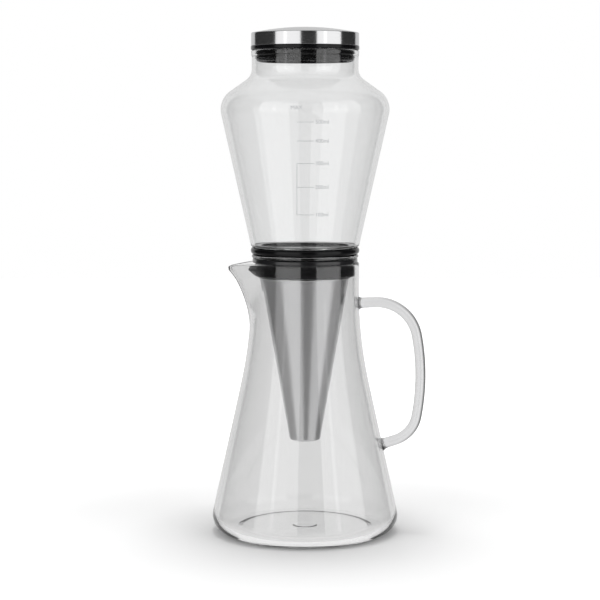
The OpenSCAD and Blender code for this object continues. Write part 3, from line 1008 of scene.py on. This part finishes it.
@dataclass
class Filter:
    """The black holder, its collar with a tongue, the steel cone and its mesh."""

    rim_z: float = 183.7
    flange_r: float = 35.4
    flange_h: float = 3.0
    flange_round: float = 1.1
    flange_edge: float = 0.4
    seat_r: float = 31.5
    seat_depth: float = 0.9
    seat_edge: float = 0.15
    seat_root: float = 0.1
    tube_up: float = 0.6
    tube_edge: float = 0.2
    tube_root: float = 0.3
    collar_r: float = 33.8
    collar_top: float = 182.6
    collar_low: float = 174.5
    holder_r: float = 31.9
    holder_bore: float = 29.9
    collar_round: float = 1.6
    collar_edge: float = 0.5
    collar_step: float = 0.5
    tongue_reach: float = 4.0
    tongue_flat: float = 0.5
    tongue_blunt: float = 0.03
    skin: float = 0.3
    cone_r: float = 29.6
    cone_wall: float = 0.6
    lip_r: float = 31.4
    lip_h: float = 0.8
    lip_edge: float = 0.2
    lip_gap: float = 0.1
    bead_r: float = 30.8
    bead_h: float = 1.0
    bead_gap: float = 0.3
    bead_round: float = 0.42
    cone_low: float = 66.7
    tip_r: float = 11.0
    tip_low: float = 62.4
    tip_round: float = 1.8
    tip_wall: float = 1.4
    tip_hollow: float = 0.8
    tip_crease: float = 0.1
    plug_wall: float = 2.2
    plug_h: float = 3.0
    plug_gap: float = 0.05
    plug_edge: float = 0.2

    def flange(self) -> Piece:
        """Shapes the holder: a flange with a tube that hangs from it."""
        top, low = self.rim_z + self.flange_h, self.collar_low + self.tube_up
        knots = [
            (self.holder_bore, low, self.tube_edge),
            (self.holder_r, low, self.tube_edge),
            (self.holder_r, self.rim_z, self.tube_root),
            (self.flange_r, self.rim_z, self.flange_edge),
            (self.flange_r, top, self.flange_round),
            (self.seat_r, top, self.seat_edge),
            (self.seat_r, top - self.seat_depth, self.seat_root),
            (self.holder_bore, top - self.seat_depth, self.seat_root),
        ]
        return lathe("filter_holder", knots, closed=True)

    def collar(self) -> Piece:
        """Shapes the silicone collar and pulls its tongue into the spout."""
        low, top = self.collar_low, self.collar_top
        knots = [
            (self.holder_bore, low, 0.0),
            (self.collar_r, low, self.collar_round),
            (self.collar_r, top, self.collar_edge),
            (self.holder_r, top, 0.0),
            (self.holder_r, low + self.tube_up, 0.0),
            (self.holder_bore, low + self.tube_up, 0.0),
        ]
        piece = lathe("filter_collar", knots, closed=True, steps=256, longest=self.collar_step)
        middle = (low + top) / 2

        def reach(z: float) -> float:
            """Gives the tongue's reach, greatest half way up the collar."""
            share = abs(z - middle) / (middle - low - self.tongue_flat)
            return self.tongue_reach * max(0.0, 1.0 - share)

        def wall_of(r: float, _z: float) -> float:
            """Tells the collar's outside from the side that holds the tube."""
            return self.collar_r if r > self.holder_r + self.skin else 0.0

        pull_beak(piece, wall_of, reach, self.tongue_blunt)
        return piece

    def cone(self) -> Piece:
        """Shapes the steel cone with its rolled bead and its out-turned lip."""
        t, lip = self.cone_wall, self.rim_z + self.flange_h - self.lip_gap
        bead_low = self.collar_low - self.bead_gap - self.bead_h
        knots = [
            (self.tip_r - t, self.cone_low, 0),
            (self.tip_r, self.cone_low, 0),
            (self.cone_r, bead_low, 0),
            (self.bead_r, bead_low, self.bead_round),
            (self.bead_r, bead_low + self.bead_h, self.bead_round),
            (self.cone_r, bead_low + self.bead_h, 0),
            (self.cone_r, lip - self.lip_h, 0),
            (self.lip_r, lip - self.lip_h, self.lip_edge),
            (self.lip_r, lip, self.lip_edge),
            (self.cone_r - t, lip, self.lip_edge),
            (self.cone_r - t, bead_low, 0),
        ]
        return lathe("filter_cone_body", knots, closed=True, longest=4.0)

    def tip(self) -> Piece:
        """Shapes the rounded cap that closes the cone, with its plug inside the cone."""
        cone_top = self.collar_low - self.bead_gap - self.bead_h
        slope = (self.cone_r - self.tip_r) / (cone_top - self.cone_low)
        low_r = self.tip_r - slope * (self.cone_low - self.tip_low)
        plug = self.tip_r - self.cone_wall - self.plug_gap
        plug_top, bore = self.cone_low + self.plug_h, low_r - self.plug_wall
        knots = [
            (0, self.tip_low, 0),
            (low_r, self.tip_low, self.tip_round),
            (self.tip_r, self.cone_low, self.tip_crease),
            (plug, self.cone_low, 0),
            (plug + slope * self.plug_h, plug_top, self.plug_edge),
            (bore, plug_top, self.plug_edge),
            (bore, self.tip_low + self.tip_wall, self.tip_hollow),
            (0, self.tip_low + self.tip_wall, 0),
        ]
        return lathe("filter_tip", knots, steps=128)

    def build(self, palette: Palette, nodes: dict[str, Piece]) -> None:
        """Builds and dresses the filter."""
        settle(self.flange(), palette.plastic, Body.FILTER, Slot.PLASTIC, "filter_flange")
        settle(self.collar(), palette.silicone, Body.FILTER, Slot.SILICONE, "filter_seal")
        settle(self.cone(), palette.cone_steel, Body.FILTER, Slot.STEEL, "filter_cone")
        settle(self.tip(), palette.cone_steel, Body.FILTER, Slot.STEEL, "filter_tip_cap")
        dress(nodes["filter_mesh"], palette.mesh)


@dataclass
class Tower:
    """The glass water tower with its ring, its plug and its printed scale."""

    lip_z: float = 186.7
    lip_h: float = 2.5
    lip_r: float = 35.9
    lip_round: float = 1.24
    ring_h: float = 5.0
    ring_r: float = 36.6
    ring_round: float = 0.47
    ring_gap: float = 0.02
    spigot_r: float = 31.4
    spigot_low_edge: float = 0.6
    spigot_top_edge: float = 0.4
    height: float = 138.5
    low_r: float = 36.3
    slope: float = 0.2236
    body_edge: float = 1.4
    floor: float = 1.0
    shoulder_drop: float = 32.8
    shoulder_rise: float = 0.702
    shoulder_round: float = 15.0
    neck_r: float = 35.6
    throat_round: float = 9.0
    wall: float = 2.0
    bead_h: float = 4.0
    bead_proud: float = 0.4
    bead_slant: float = 1.0
    bead_root: float = 0.8
    bead_edge: float = 0.6
    rim_edge: float = 1.1
    rim_bore_edge: float = 0.8
    plug_foot_r: float = 28.7
    plug_h: float = 10.0
    plug_gap: float = 0.05
    plug_sunk: float = 0.4
    plug_round: float = 0.8
    plug_lip_edge: float = 0.2
    seat_h: float = 6.0
    dish_r: float = 26.0
    dish_depth: float = 0.9
    dish_slant: float = 1.0
    dish_edge: float = 0.4
    water_way_r: float = 1.7
    socket_r: float = 5.4
    hole_edge: float = 0.3

    @property
    def ring_z(self) -> float:
        """Height of the ring's lower edge."""
        return self.lip_z + self.lip_h

    @property
    def body_z(self) -> float:
        """Height of the body's lower edge."""
        return self.ring_z + self.ring_h

    @property
    def rim_z(self) -> float:
        """Height of the tower's rim."""
        return self.lip_z + self.height

    def shoulder(self) -> Point:
        """Returns radius and height where body and shoulder would meet."""
        z = self.rim_z - self.shoulder_drop
        return self.low_r + self.slope * (z - self.body_z), z

    def glass(self) -> Piece:
        """Shapes the tower's wall from the clear lip up to the beaded rim."""
        t, (corner_r, corner_z) = self.wall, self.shoulder()
        lean, slant = math.hypot(1, self.slope), math.hypot(1, self.shoulder_rise)
        both = 1 + self.slope * self.shoulder_rise
        inner_r = corner_r - t * (lean + self.slope * slant) / both
        inner_z = corner_z - t * (slant - self.shoulder_rise * lean) / both
        bore, spigot = self.neck_r - t, self.spigot_r - t
        floor = self.body_z + self.floor
        throat_z = corner_z + self.shoulder_rise * (corner_r - self.neck_r)
        bead_r, bead_z = self.neck_r + self.bead_proud, self.rim_z - self.bead_h
        knots = [
            (spigot, self.lip_z, self.spigot_low_edge),
            (self.lip_r, self.lip_z, self.lip_round),
            (self.lip_r, self.ring_z, self.lip_round),
            (self.spigot_r, self.ring_z, 0.0),
            (self.spigot_r, self.body_z, 0.0),
            (self.low_r, self.body_z, self.body_edge),
            (corner_r, corner_z, self.shoulder_round),
            (self.neck_r, throat_z, self.throat_round),
            (self.neck_r, bead_z, self.bead_root),
            (bead_r, bead_z + self.bead_slant, self.bead_edge),
            (bead_r, self.rim_z, self.rim_edge),
            (bore, self.rim_z, self.rim_bore_edge),
            (bore, inner_z + self.shoulder_rise * (inner_r - bore), self.throat_round + t),
            (inner_r, inner_z, self.shoulder_round - t),
            (inner_r - self.slope * (inner_z - floor), floor, self.body_edge),
            (spigot, floor, self.spigot_top_edge),
        ]
        return lathe("tower_body", knots, closed=True, steps=224, longest=3.0)

    def ring(self) -> Piece:
        """Shapes the round-edged silicone ring."""
        inner = self.spigot_r + self.ring_gap
        low, top = self.ring_z + self.ring_gap, self.body_z - self.ring_gap
        soft = self.ring_h * self.ring_round
        knots = [
            (inner, low, 0.0),
            (self.ring_r, low, soft),
            (self.ring_r, top, soft),
            (inner, top, 0.0),
        ]
        return lathe("tower_foot_ring", knots, closed=True)

    def plug(self) -> Piece:
        """Shapes the dished plug with the socket that the valve sits in."""
        top = self.body_z - self.plug_sunk
        low = top - self.plug_h
        seat = low + self.seat_h
        outer = self.spigot_r - self.wall - self.plug_gap
        knots = [
            (self.water_way_r, top - self.dish_depth, self.hole_edge),
            (self.water_way_r, seat, 0.0),
            (self.socket_r, seat, 0.0),
            (self.socket_r, low, self.hole_edge),
            (self.plug_foot_r, low, self.plug_round),
            (self.plug_foot_r, self.lip_z, 0.0),
            (outer, self.lip_z, self.plug_lip_edge),
            (outer, top, self.plug_round),
            (self.dish_r + self.dish_slant, top, self.dish_edge),
            (self.dish_r, top - self.dish_depth, self.dish_edge),
        ]
        return lathe("tower_foot_plug", knots, closed=True)

    def wall_at(self, z: float) -> float:
        """Returns the outer radius of the straight body at a height."""
        return self.low_r + self.slope * (z - self.body_z)

    def build(self, palette: Palette) -> None:
        """Builds and dresses the tower."""
        settle(self.glass(), palette.tower_glass, Body.TOWER, Slot.GLASS, "tower_glass")
        settle(self.ring(), palette.ring_rubber, Body.TOWER, Slot.SILICONE, "tower_ring")
        settle(self.plug(), palette.ring_rubber, Body.TOWER, Slot.SILICONE, "tower_plug")


@dataclass
class PrintedScale:
    """The scale printed on the tower's front: a line, ticks and volumes."""

    tower: Tower
    marks: tuple[tuple[str, float], ...] = (
        ("100ml", 217.7),
        ("200ml", 235.7),
        ("300ml", 251.1),
        ("400ml", 265.6),
        ("500ml", 277.7),
    )
    full_z: float = 286.8
    line_u: float = -5.4
    line_w: float = 0.3
    tick_len: float = 11.0
    label_u: float = 6.4
    label_h: float = 2.7
    type_size: float = 1.35
    full_shift: float = -4.2
    lift: float = 0.03
    film: float = 0.04

    def wrap(self, piece: Piece) -> None:
        """Lays a flat print, drawn in width X and height Y, on the tower's wall.

        Args:
            piece: The flat print, in millimetres times MM.
        """
        for vertex in piece.data.vertices:
            u, z = vertex.co.x / MM, vertex.co.y / MM
            radius = self.tower.wall_at(z) + self.lift
            angle = u / radius
            vertex.co = Vector((radius * math.sin(angle), -radius * math.cos(angle), z)) * MM

    def finish(self, piece: Piece, palette: Palette) -> None:
        """Wraps a flat print, gives it the ink's thickness and lets it ride on the tower."""
        self.wrap(piece)
        deselect()
        piece.select_set(True)
        bpy.context.view_layer.objects.active = piece
        solid = piece.modifiers.new("ink", "SOLIDIFY")
        solid.thickness = self.film * MM
        solid.offset = 1.0
        bpy.ops.object.modifier_apply(modifier=solid.name)
        bpy.ops.object.mode_set(mode="EDIT")
        close_up(piece, 30.0)
        settle(piece, palette.ink, Body.TOWER, Slot.PLASTIC)

    def stroke(self, name: str, low: Point, high: Point) -> Piece:
        """Draws a straight stroke between two corners, cut fine enough to follow the wall."""
        deselect()
        bpy.ops.mesh.primitive_grid_add(x_subdivisions=6, y_subdivisions=8, size=1.0)
        piece = bpy.context.object
        piece.name = piece.data.name = name
        for vertex in piece.data.vertices:
            vertex.co.x = (low[0] + (high[0] - low[0]) * (vertex.co.x + 0.5)) * MM
            vertex.co.y = (low[1] + (high[1] - low[1]) * (vertex.co.y + 0.5)) * MM
        return piece

    def label(self, text: str, z: float, u: float) -> Piece:
        """Sets a word in plain type.

        Args:
            text: The word.
            z: Height of its middle.
            u: Place of its left end along the wall.

        Returns:
            The flat word.
        """
        deselect()
        bpy.ops.object.text_add(location=(0, 0, 0))
        words = bpy.context.object
        words.data.body = text
        words.data.size = self.label_h * self.type_size * MM
        words.data.align_y = "CENTER"
        words.data.resolution_u = 3
        bpy.ops.object.convert(target="MESH")
        piece = bpy.context.object
        piece.name = piece.data.name = f"scale_{text}"
        for vertex in piece.data.vertices:
            vertex.co.x += u * MM
            vertex.co.y += z * MM
        return piece

    def build(self, palette: Palette) -> None:
        """Prints the line, the ticks and the volumes."""
        half = self.line_w / 2
        low, high = self.marks[0][1] - half, self.marks[2][1] + half
        line = self.stroke("scale_line", (self.line_u - half, low), (self.line_u + half, high))
        self.finish(line, palette)
        for text, z in self.marks:
            end = (self.line_u + self.tick_len, z + half)
            tick = self.stroke(f"tick_{text}", (self.line_u, z - half), end)
            self.finish(tick, palette)
            self.finish(self.label(text, z, self.label_u), palette)
        self.finish(self.label("MAX", self.full_z, self.line_u + self.full_shift), palette)


@dataclass
class Lid:
    """The domed steel lid with its black flange and stopper."""

    rim_z: float = 325.2
    radius: float = 36.0
    band_h: float = 8.6
    dome_h: float = 3.9
    wall: float = 0.7
    edge_round: float = 0.75
    edge_rise: float = 0.15
    edge_start: float = 2.5
    dome_at: tuple[float, ...] = (0, 5, 10, 15, 20, 25, 30)
    hollow_at: tuple[float, ...] = (28, 20, 10, 0)
    hollow_round: float = 0.4
    band_edge: float = 0.25
    band_bore_edge: float = 0.15
    gasket_h: float = 2.8
    gasket_proud: float = 0.2
    gasket_gap: float = 0.02
    gasket_low_edge: float = 0.8
    gasket_top_edge: float = 0.4
    stopper_h: float = 7.8
    stopper_r: float = 33.3
    stopper_round: float = 2.6
    stopper_wall: float = 3.0
    stopper_play: float = 0.4
    stopper_ceiling: float = 0.8
    stopper_mouth: float = 1.0
    rib_proud: float = 0.15
    rib_h: float = 1.0
    rib_drops: Point = (4.6, 2.0)
    rib_root: float = 0.1
    rib_edge: float = 0.3

    def dome(self, r: float, drop: float) -> float:
        """Returns the dome's height at a radius, moved down by drop."""
        ball = (self.radius**2 + self.dome_h**2) / (2 * self.dome_h)
        top = self.rim_z + self.gasket_h + self.band_h + self.dome_h
        return top - drop - (ball - math.sqrt(ball * ball - r * r))

    def cap(self) -> Piece:
        """Shapes the steel skin: band, rounded edge and dome, with a hollow underside."""
        low = self.rim_z + self.gasket_h
        inner = self.radius - self.wall
        rim, inner_rim = self.radius - self.edge_start, inner - self.edge_start
        outside = [(r, self.dome(r, 0), 0.0) for r in (*self.dome_at, rim)]
        inside = [(r, self.dome(r, self.wall), 0.0) for r in (inner_rim, *self.hollow_at)]
        edge_z = self.dome(self.radius, 0) + self.edge_rise
        knots = outside + [
            (self.radius, edge_z, self.edge_round),
            (self.radius, low, self.band_edge),
            (inner, low, self.band_bore_edge),
            (inner, self.dome(inner, self.wall), self.hollow_round),
        ]
        knots += inside
        return lathe("lid_skin", knots, steps=224, longest=2.5)

    def gasket(self) -> Piece:
        """Shapes the black flange and the ribbed stopper below it."""
        low, top = self.rim_z - self.stopper_h, self.rim_z + self.gasket_h - self.gasket_gap
        body, flange = self.stopper_r - self.stopper_play, self.radius + self.gasket_proud
        rib = self.stopper_r + self.rib_proud
        bore = body - self.stopper_wall
        knots: list[Knot] = [
            (0, self.rim_z, 0),
            (bore, self.rim_z, self.stopper_ceiling),
            (bore, low, self.stopper_mouth),
            (body, low, self.stopper_round),
        ]
        for drop in self.rib_drops:
            high = self.rim_z - drop
            foot = high - self.rib_h
            knots += [
                (body, foot, self.rib_root),
                (rib, foot, self.rib_edge),
                (rib, high, self.rib_edge),
                (body, high, self.rib_root),
            ]
        knots += [
            (body, self.rim_z, self.rib_root),
            (flange, self.rim_z, self.gasket_low_edge),
            (flange, top, self.gasket_top_edge),
            (0, top, 0),
        ]
        return lathe("lid_stopper", knots, steps=192)

    def build(self, palette: Palette, nodes: dict[str, Piece]) -> None:
        """Builds and dresses the lid."""
        settle(self.cap(), palette.lid_steel, Body.LID, Slot.STEEL, "lid_cap")
        settle(self.gasket(), palette.ring_rubber, Body.LID, Slot.SILICONE, "lid_gasket")
        dress(nodes["lid_core"], palette.plastic)


@dataclass
class Valve:
    """The drip valve under the plug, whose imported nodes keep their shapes."""

    steel: tuple[str, ...] = (
        "valve_body", "valve_clip", "drip_nozzle", "valve_needle", "needle_pin"
    )
    rubber: tuple[str, ...] = ("valve_washer", "needle_seal")
    knob: str = "valve_knob"

    def build(self, palette: Palette, nodes: dict[str, Piece]) -> None:
        """Dresses the valve."""
        for name in self.steel:
            dress(nodes[name], palette.valve_steel)
        for name in self.rubber:
            dress(nodes[name], palette.silicone)
        dress(nodes[self.knob], palette.plastic)


# ---- Studio ----


@dataclass
class Surroundings:
    """The world: white where seen straight, a studio with two tall soft boxes where mirrored."""

    left_deg: Point = (-66.0, -9.6)
    right_deg: Point = (24.6, 82.0)
    box_edge_deg: float = 0.5
    box_light: float = 1.45
    box_light_low: float = 1.0
    box_fade_high: float = 0.6
    low_zone: Point = (-0.32, -0.12)
    high_zone: Point = (0.45, 0.75)
    dark: float = 0.04
    below: float = 0.34
    above: float = 0.45
    back_deg: float = 135.0
    back_edge_deg: float = 2.0
    behind: float = 0.76
    tube_deg: float = 43.0
    tube_edge_deg: Point = (1.5, 3.0)
    tube_height: float = 0.12
    tube_reach: Point = (0.16, 0.22)
    tube_light: float = 0.8
    fill: float = 0.3

    def boxes(self, graph: Graph, azimuth: Socket) -> Socket:
        """Returns 1 inside the two soft boxes and 0 outside, by azimuth."""
        soft = math.radians(self.box_edge_deg)
        masks = []
        for box in (self.left_deg, self.right_deg):
            low, high = (math.radians(angle) for angle in box)
            start = graph.step(azimuth, low - soft, low + soft)
            end = graph.step(azimuth, high - soft, high + soft)
            masks.append(graph.math("SUBTRACT", start, end))
        return graph.math("ADD", *masks)

    def tubes(self, graph: Graph, azimuth: Socket, height: Socket) -> Socket:
        """Returns the extra light of the tube behind the middle of each soft box."""
        side = graph.math("ABSOLUTE", azimuth)
        off = graph.math("ABSOLUTE", graph.math("SUBTRACT", side, math.radians(self.tube_deg)))
        edge = (math.radians(angle) for angle in self.tube_edge_deg)
        tube = graph.step(off, *edge, (self.tube_light, 0.0))
        up = graph.math("ABSOLUTE", graph.math("SUBTRACT", height, self.tube_height))
        return graph.math("MULTIPLY", tube, graph.step(up, *self.tube_reach, (1.0, 0.0)))

    def mirrored(self, graph: Graph, azimuth: Socket, height: Socket, boxes: Socket) -> Socket:
        """Builds the light that mirrored rays meet.

        Args:
            graph: The world's graph.
            azimuth: The ray's azimuth, 0 toward the camera.
            height: The sine of the ray's elevation.
            boxes: 1 inside the soft boxes.

        Returns:
            The light's strength.
        """
        lower = graph.step(height, *self.low_zone, (1.0, 0.0))
        upper = graph.step(height, *self.high_zone)
        ground = graph.math("MULTIPLY", lower, self.below - self.dark)
        ground = graph.math("ADD", self.dark, ground)
        sky = graph.math("MULTIPLY", upper, self.above - self.dark)
        ground = graph.math("ADD", ground, sky)
        edge = (math.radians(self.back_deg + side * self.back_edge_deg) for side in (-1, 1))
        behind = graph.step(graph.math("ABSOLUTE", azimuth), *edge)
        drop = graph.math("MULTIPLY", lower, self.box_light - self.box_light_low)
        fade = graph.math("SUBTRACT", 1.0, graph.math("MULTIPLY", upper, self.box_fade_high))
        level = graph.math("MULTIPLY", graph.math("SUBTRACT", self.box_light, drop), fade)
        level = graph.math("ADD", level, self.tubes(graph, azimuth, height))
        lit = graph.math("MULTIPLY", boxes, level)
        lit = graph.math("MAXIMUM", lit, graph.math("MULTIPLY", behind, self.behind))
        return graph.math("MAXIMUM", ground, lit)

    def build(self) -> None:
        """Builds the world and makes it the scene's own."""
        world = bpy.data.worlds.new("studio")
        bpy.context.scene.world = world
        world.use_nodes = True
        world.cycles.sampling_method = "NONE"
        graph = Graph(world.node_tree)
        background = world.node_tree.nodes["Background"]
        background.inputs["Color"].default_value = (1.0, 1.0, 1.0, 1.0)
        place = graph.split("Generated").outputs
        azimuth = graph.math("ARCTAN2", place["X"], graph.math("MULTIPLY", place["Y"], -1.0))
        boxes = self.boxes(graph, azimuth)
        glossy = self.mirrored(graph, azimuth, place["Z"], boxes)
        diffuse = graph.math("MULTIPLY", boxes, self.box_light - self.fill)
        diffuse = graph.math("ADD", self.fill, diffuse)
        strength = graph.either(graph.path("Glossy Depth"), 1.0, glossy)
        strength = graph.either(graph.path("Diffuse Depth"), strength, diffuse)
        graph.feed(background.inputs["Strength"], strength)


@dataclass
class Floor:
    """The pale floor, which keeps the maker's soft shadow and, by a painted glow, turns white away
    from it.
    """

    size: Point = (2.4, 2.6)
    shift: float = 0.6
    sink: float = 0.0002
    colour: float = 0.8
    roughness: float = 0.9
    tones: Point = (0.99, 1.01)
    tone_cells: float = 6.0
    glow: float = 0.6
    glow_zone: Point = (0.12, 0.5)
    foot_zone: Point = (0.08, 0.09)

    def plane(self) -> Piece:
        """Lays the plane, most of it behind the maker."""
        deselect()
        bpy.ops.mesh.primitive_plane_add(size=1.0, location=(0, 0, 0))
        floor = bpy.context.object
        floor.name = "floor"
        for vertex in floor.data.vertices:
            vertex.co.x *= self.size[0]
            vertex.co.y = vertex.co.y * self.size[1] + self.shift
            vertex.co.z = -self.sink
        return floor

    def material(self) -> Material:
        """Builds the floor's material.

        Returns:
            Pale and matte where seen straight or by scattered light, lifted to white away from the
            maker by a painted glow, a plain painted white glow where seen through glass, and clear
            for mirrored rays that meet it beside the maker, so that they see the studio.
        """
        material, graph, shader, surface = Shop.start("pale_floor")
        shader.inputs["Roughness"].default_value = self.roughness
        shader.inputs["Specular IOR Level"].default_value = 0.0
        tone = graph.step(graph.noise((self.tone_cells,) * 3, 2.0, 1.0), 0.2, 0.8, self.tones)
        graph.feed(shader.inputs["Base Color"], Shop.toned(graph, (self.colour,) * 3, tone))
        length = graph.add("ShaderNodeVectorMath", operation="LENGTH")
        coordinates = graph.add("ShaderNodeTexCoord")
        graph.feed(length.inputs[0], coordinates.outputs["Object"])
        away = length.outputs["Value"]
        direct = graph.math("SUBTRACT", 1.0, graph.path("Diffuse Depth"))
        # Painted light: the floor glows, from none near the maker to full away from it, so the
        # floor round the maker stays darker than the rest.
        glow = graph.step(away, *self.glow_zone, (0.0, self.glow))
        shader.inputs["Emission Color"].default_value = (1.0, 1.0, 1.0, 1.0)
        graph.feed(shader.inputs["Emission Strength"], graph.math("MULTIPLY", direct, glow))
        # Painted light: to rays that came through glass the floor is a plain white glow, so no
        # shadow shows under the glass.
        through = graph.math("MULTIPLY", graph.path("Transmission Depth"), direct)
        seen = graph.blend(through, shader, graph.add("ShaderNodeEmission"))
        mirrored = graph.math("MULTIPLY", graph.path("Glossy Depth"), direct)
        mirrored = graph.math("MULTIPLY", mirrored, graph.step(away, *self.foot_zone))
        clear = graph.add("ShaderNodeBsdfTransparent")
        graph.feed(surface, graph.blend(mirrored, seen, clear).outputs[0])
        return material

    def build(self) -> None:
        """Lays and dresses the floor."""
        floor = self.plane()
        dress(floor, self.material())


@dataclass
class Studio:
    """The surroundings, the floor, one soft lamp and the camera."""

    lamp_watts: float = 6.6
    lamp_size: float = 0.3
    lamp_place: Triple = (0.0, 0.06, 1.0)
    camera_place: Triple = (-0.0034, -1.180, 0.279)
    camera_down_deg: float = 5.86
    lens: float = 105.24
    sensor: float = 36.0
    clip: Point = (0.05, 20.0)
    bounces: int = 24
    glass_bounces: int = 20
    mirror_bounces: int = 8

    def lamp(self) -> None:
        """Hangs one soft lamp above the maker, which draws its soft shadow."""
        lamp = bpy.data.lights.new("soft_top", "AREA")
        lamp.shape = "DISK"
        lamp.size = self.lamp_size
        lamp.energy = self.lamp_watts
        holder = bpy.data.objects.new("soft_top", lamp)
        bpy.context.scene.collection.objects.link(holder)
        holder.location = self.lamp_place
        holder.visible_glossy = False
        holder.visible_transmission = False
        holder.visible_camera = False

    def camera(self) -> None:
        """Places the camera at the photograph's height and angle."""
        camera = bpy.data.cameras.new("photo_view")
        camera.lens = self.lens
        camera.sensor_width = self.sensor
        camera.clip_start, camera.clip_end = self.clip
        holder = bpy.data.objects.new("photo_view", camera)
        bpy.context.scene.collection.objects.link(holder)
        holder.location = self.camera_place
        holder.rotation_euler = (math.radians(90 - self.camera_down_deg), 0, 0)
        bpy.context.scene.camera = holder

    def build(self) -> None:
        """Sets up the world, the floor, the lamp and the camera, and how deep light may go."""
        Surroundings().build()
        Floor().build()
        self.lamp()
        self.camera()
        scene = bpy.context.scene
        scene.view_settings.view_transform = "Standard"
        scene.cycles.max_bounces = self.bounces
        scene.cycles.transmission_bounces = self.glass_bounces
        scene.cycles.glossy_bounces = self.mirror_bounces
        scene.cycles.transparent_max_bounces = self.bounces


def main() -> None:
    """Builds the studio and every part of the maker in order."""
    logging.basicConfig(level=logging.INFO, format="%(name)s %(message)s")
    nodes = frame["nodes"]
    Studio().build()
    palette = Palette.mix()
    tower = Tower()
    Carafe().build(palette)
    Filter().build(palette, nodes)
    tower.build(palette)
    PrintedScale(tower).build(palette)
    Lid().build(palette, nodes)
    Valve().build(palette, nodes)


if __name__ == "__main__":
    main()
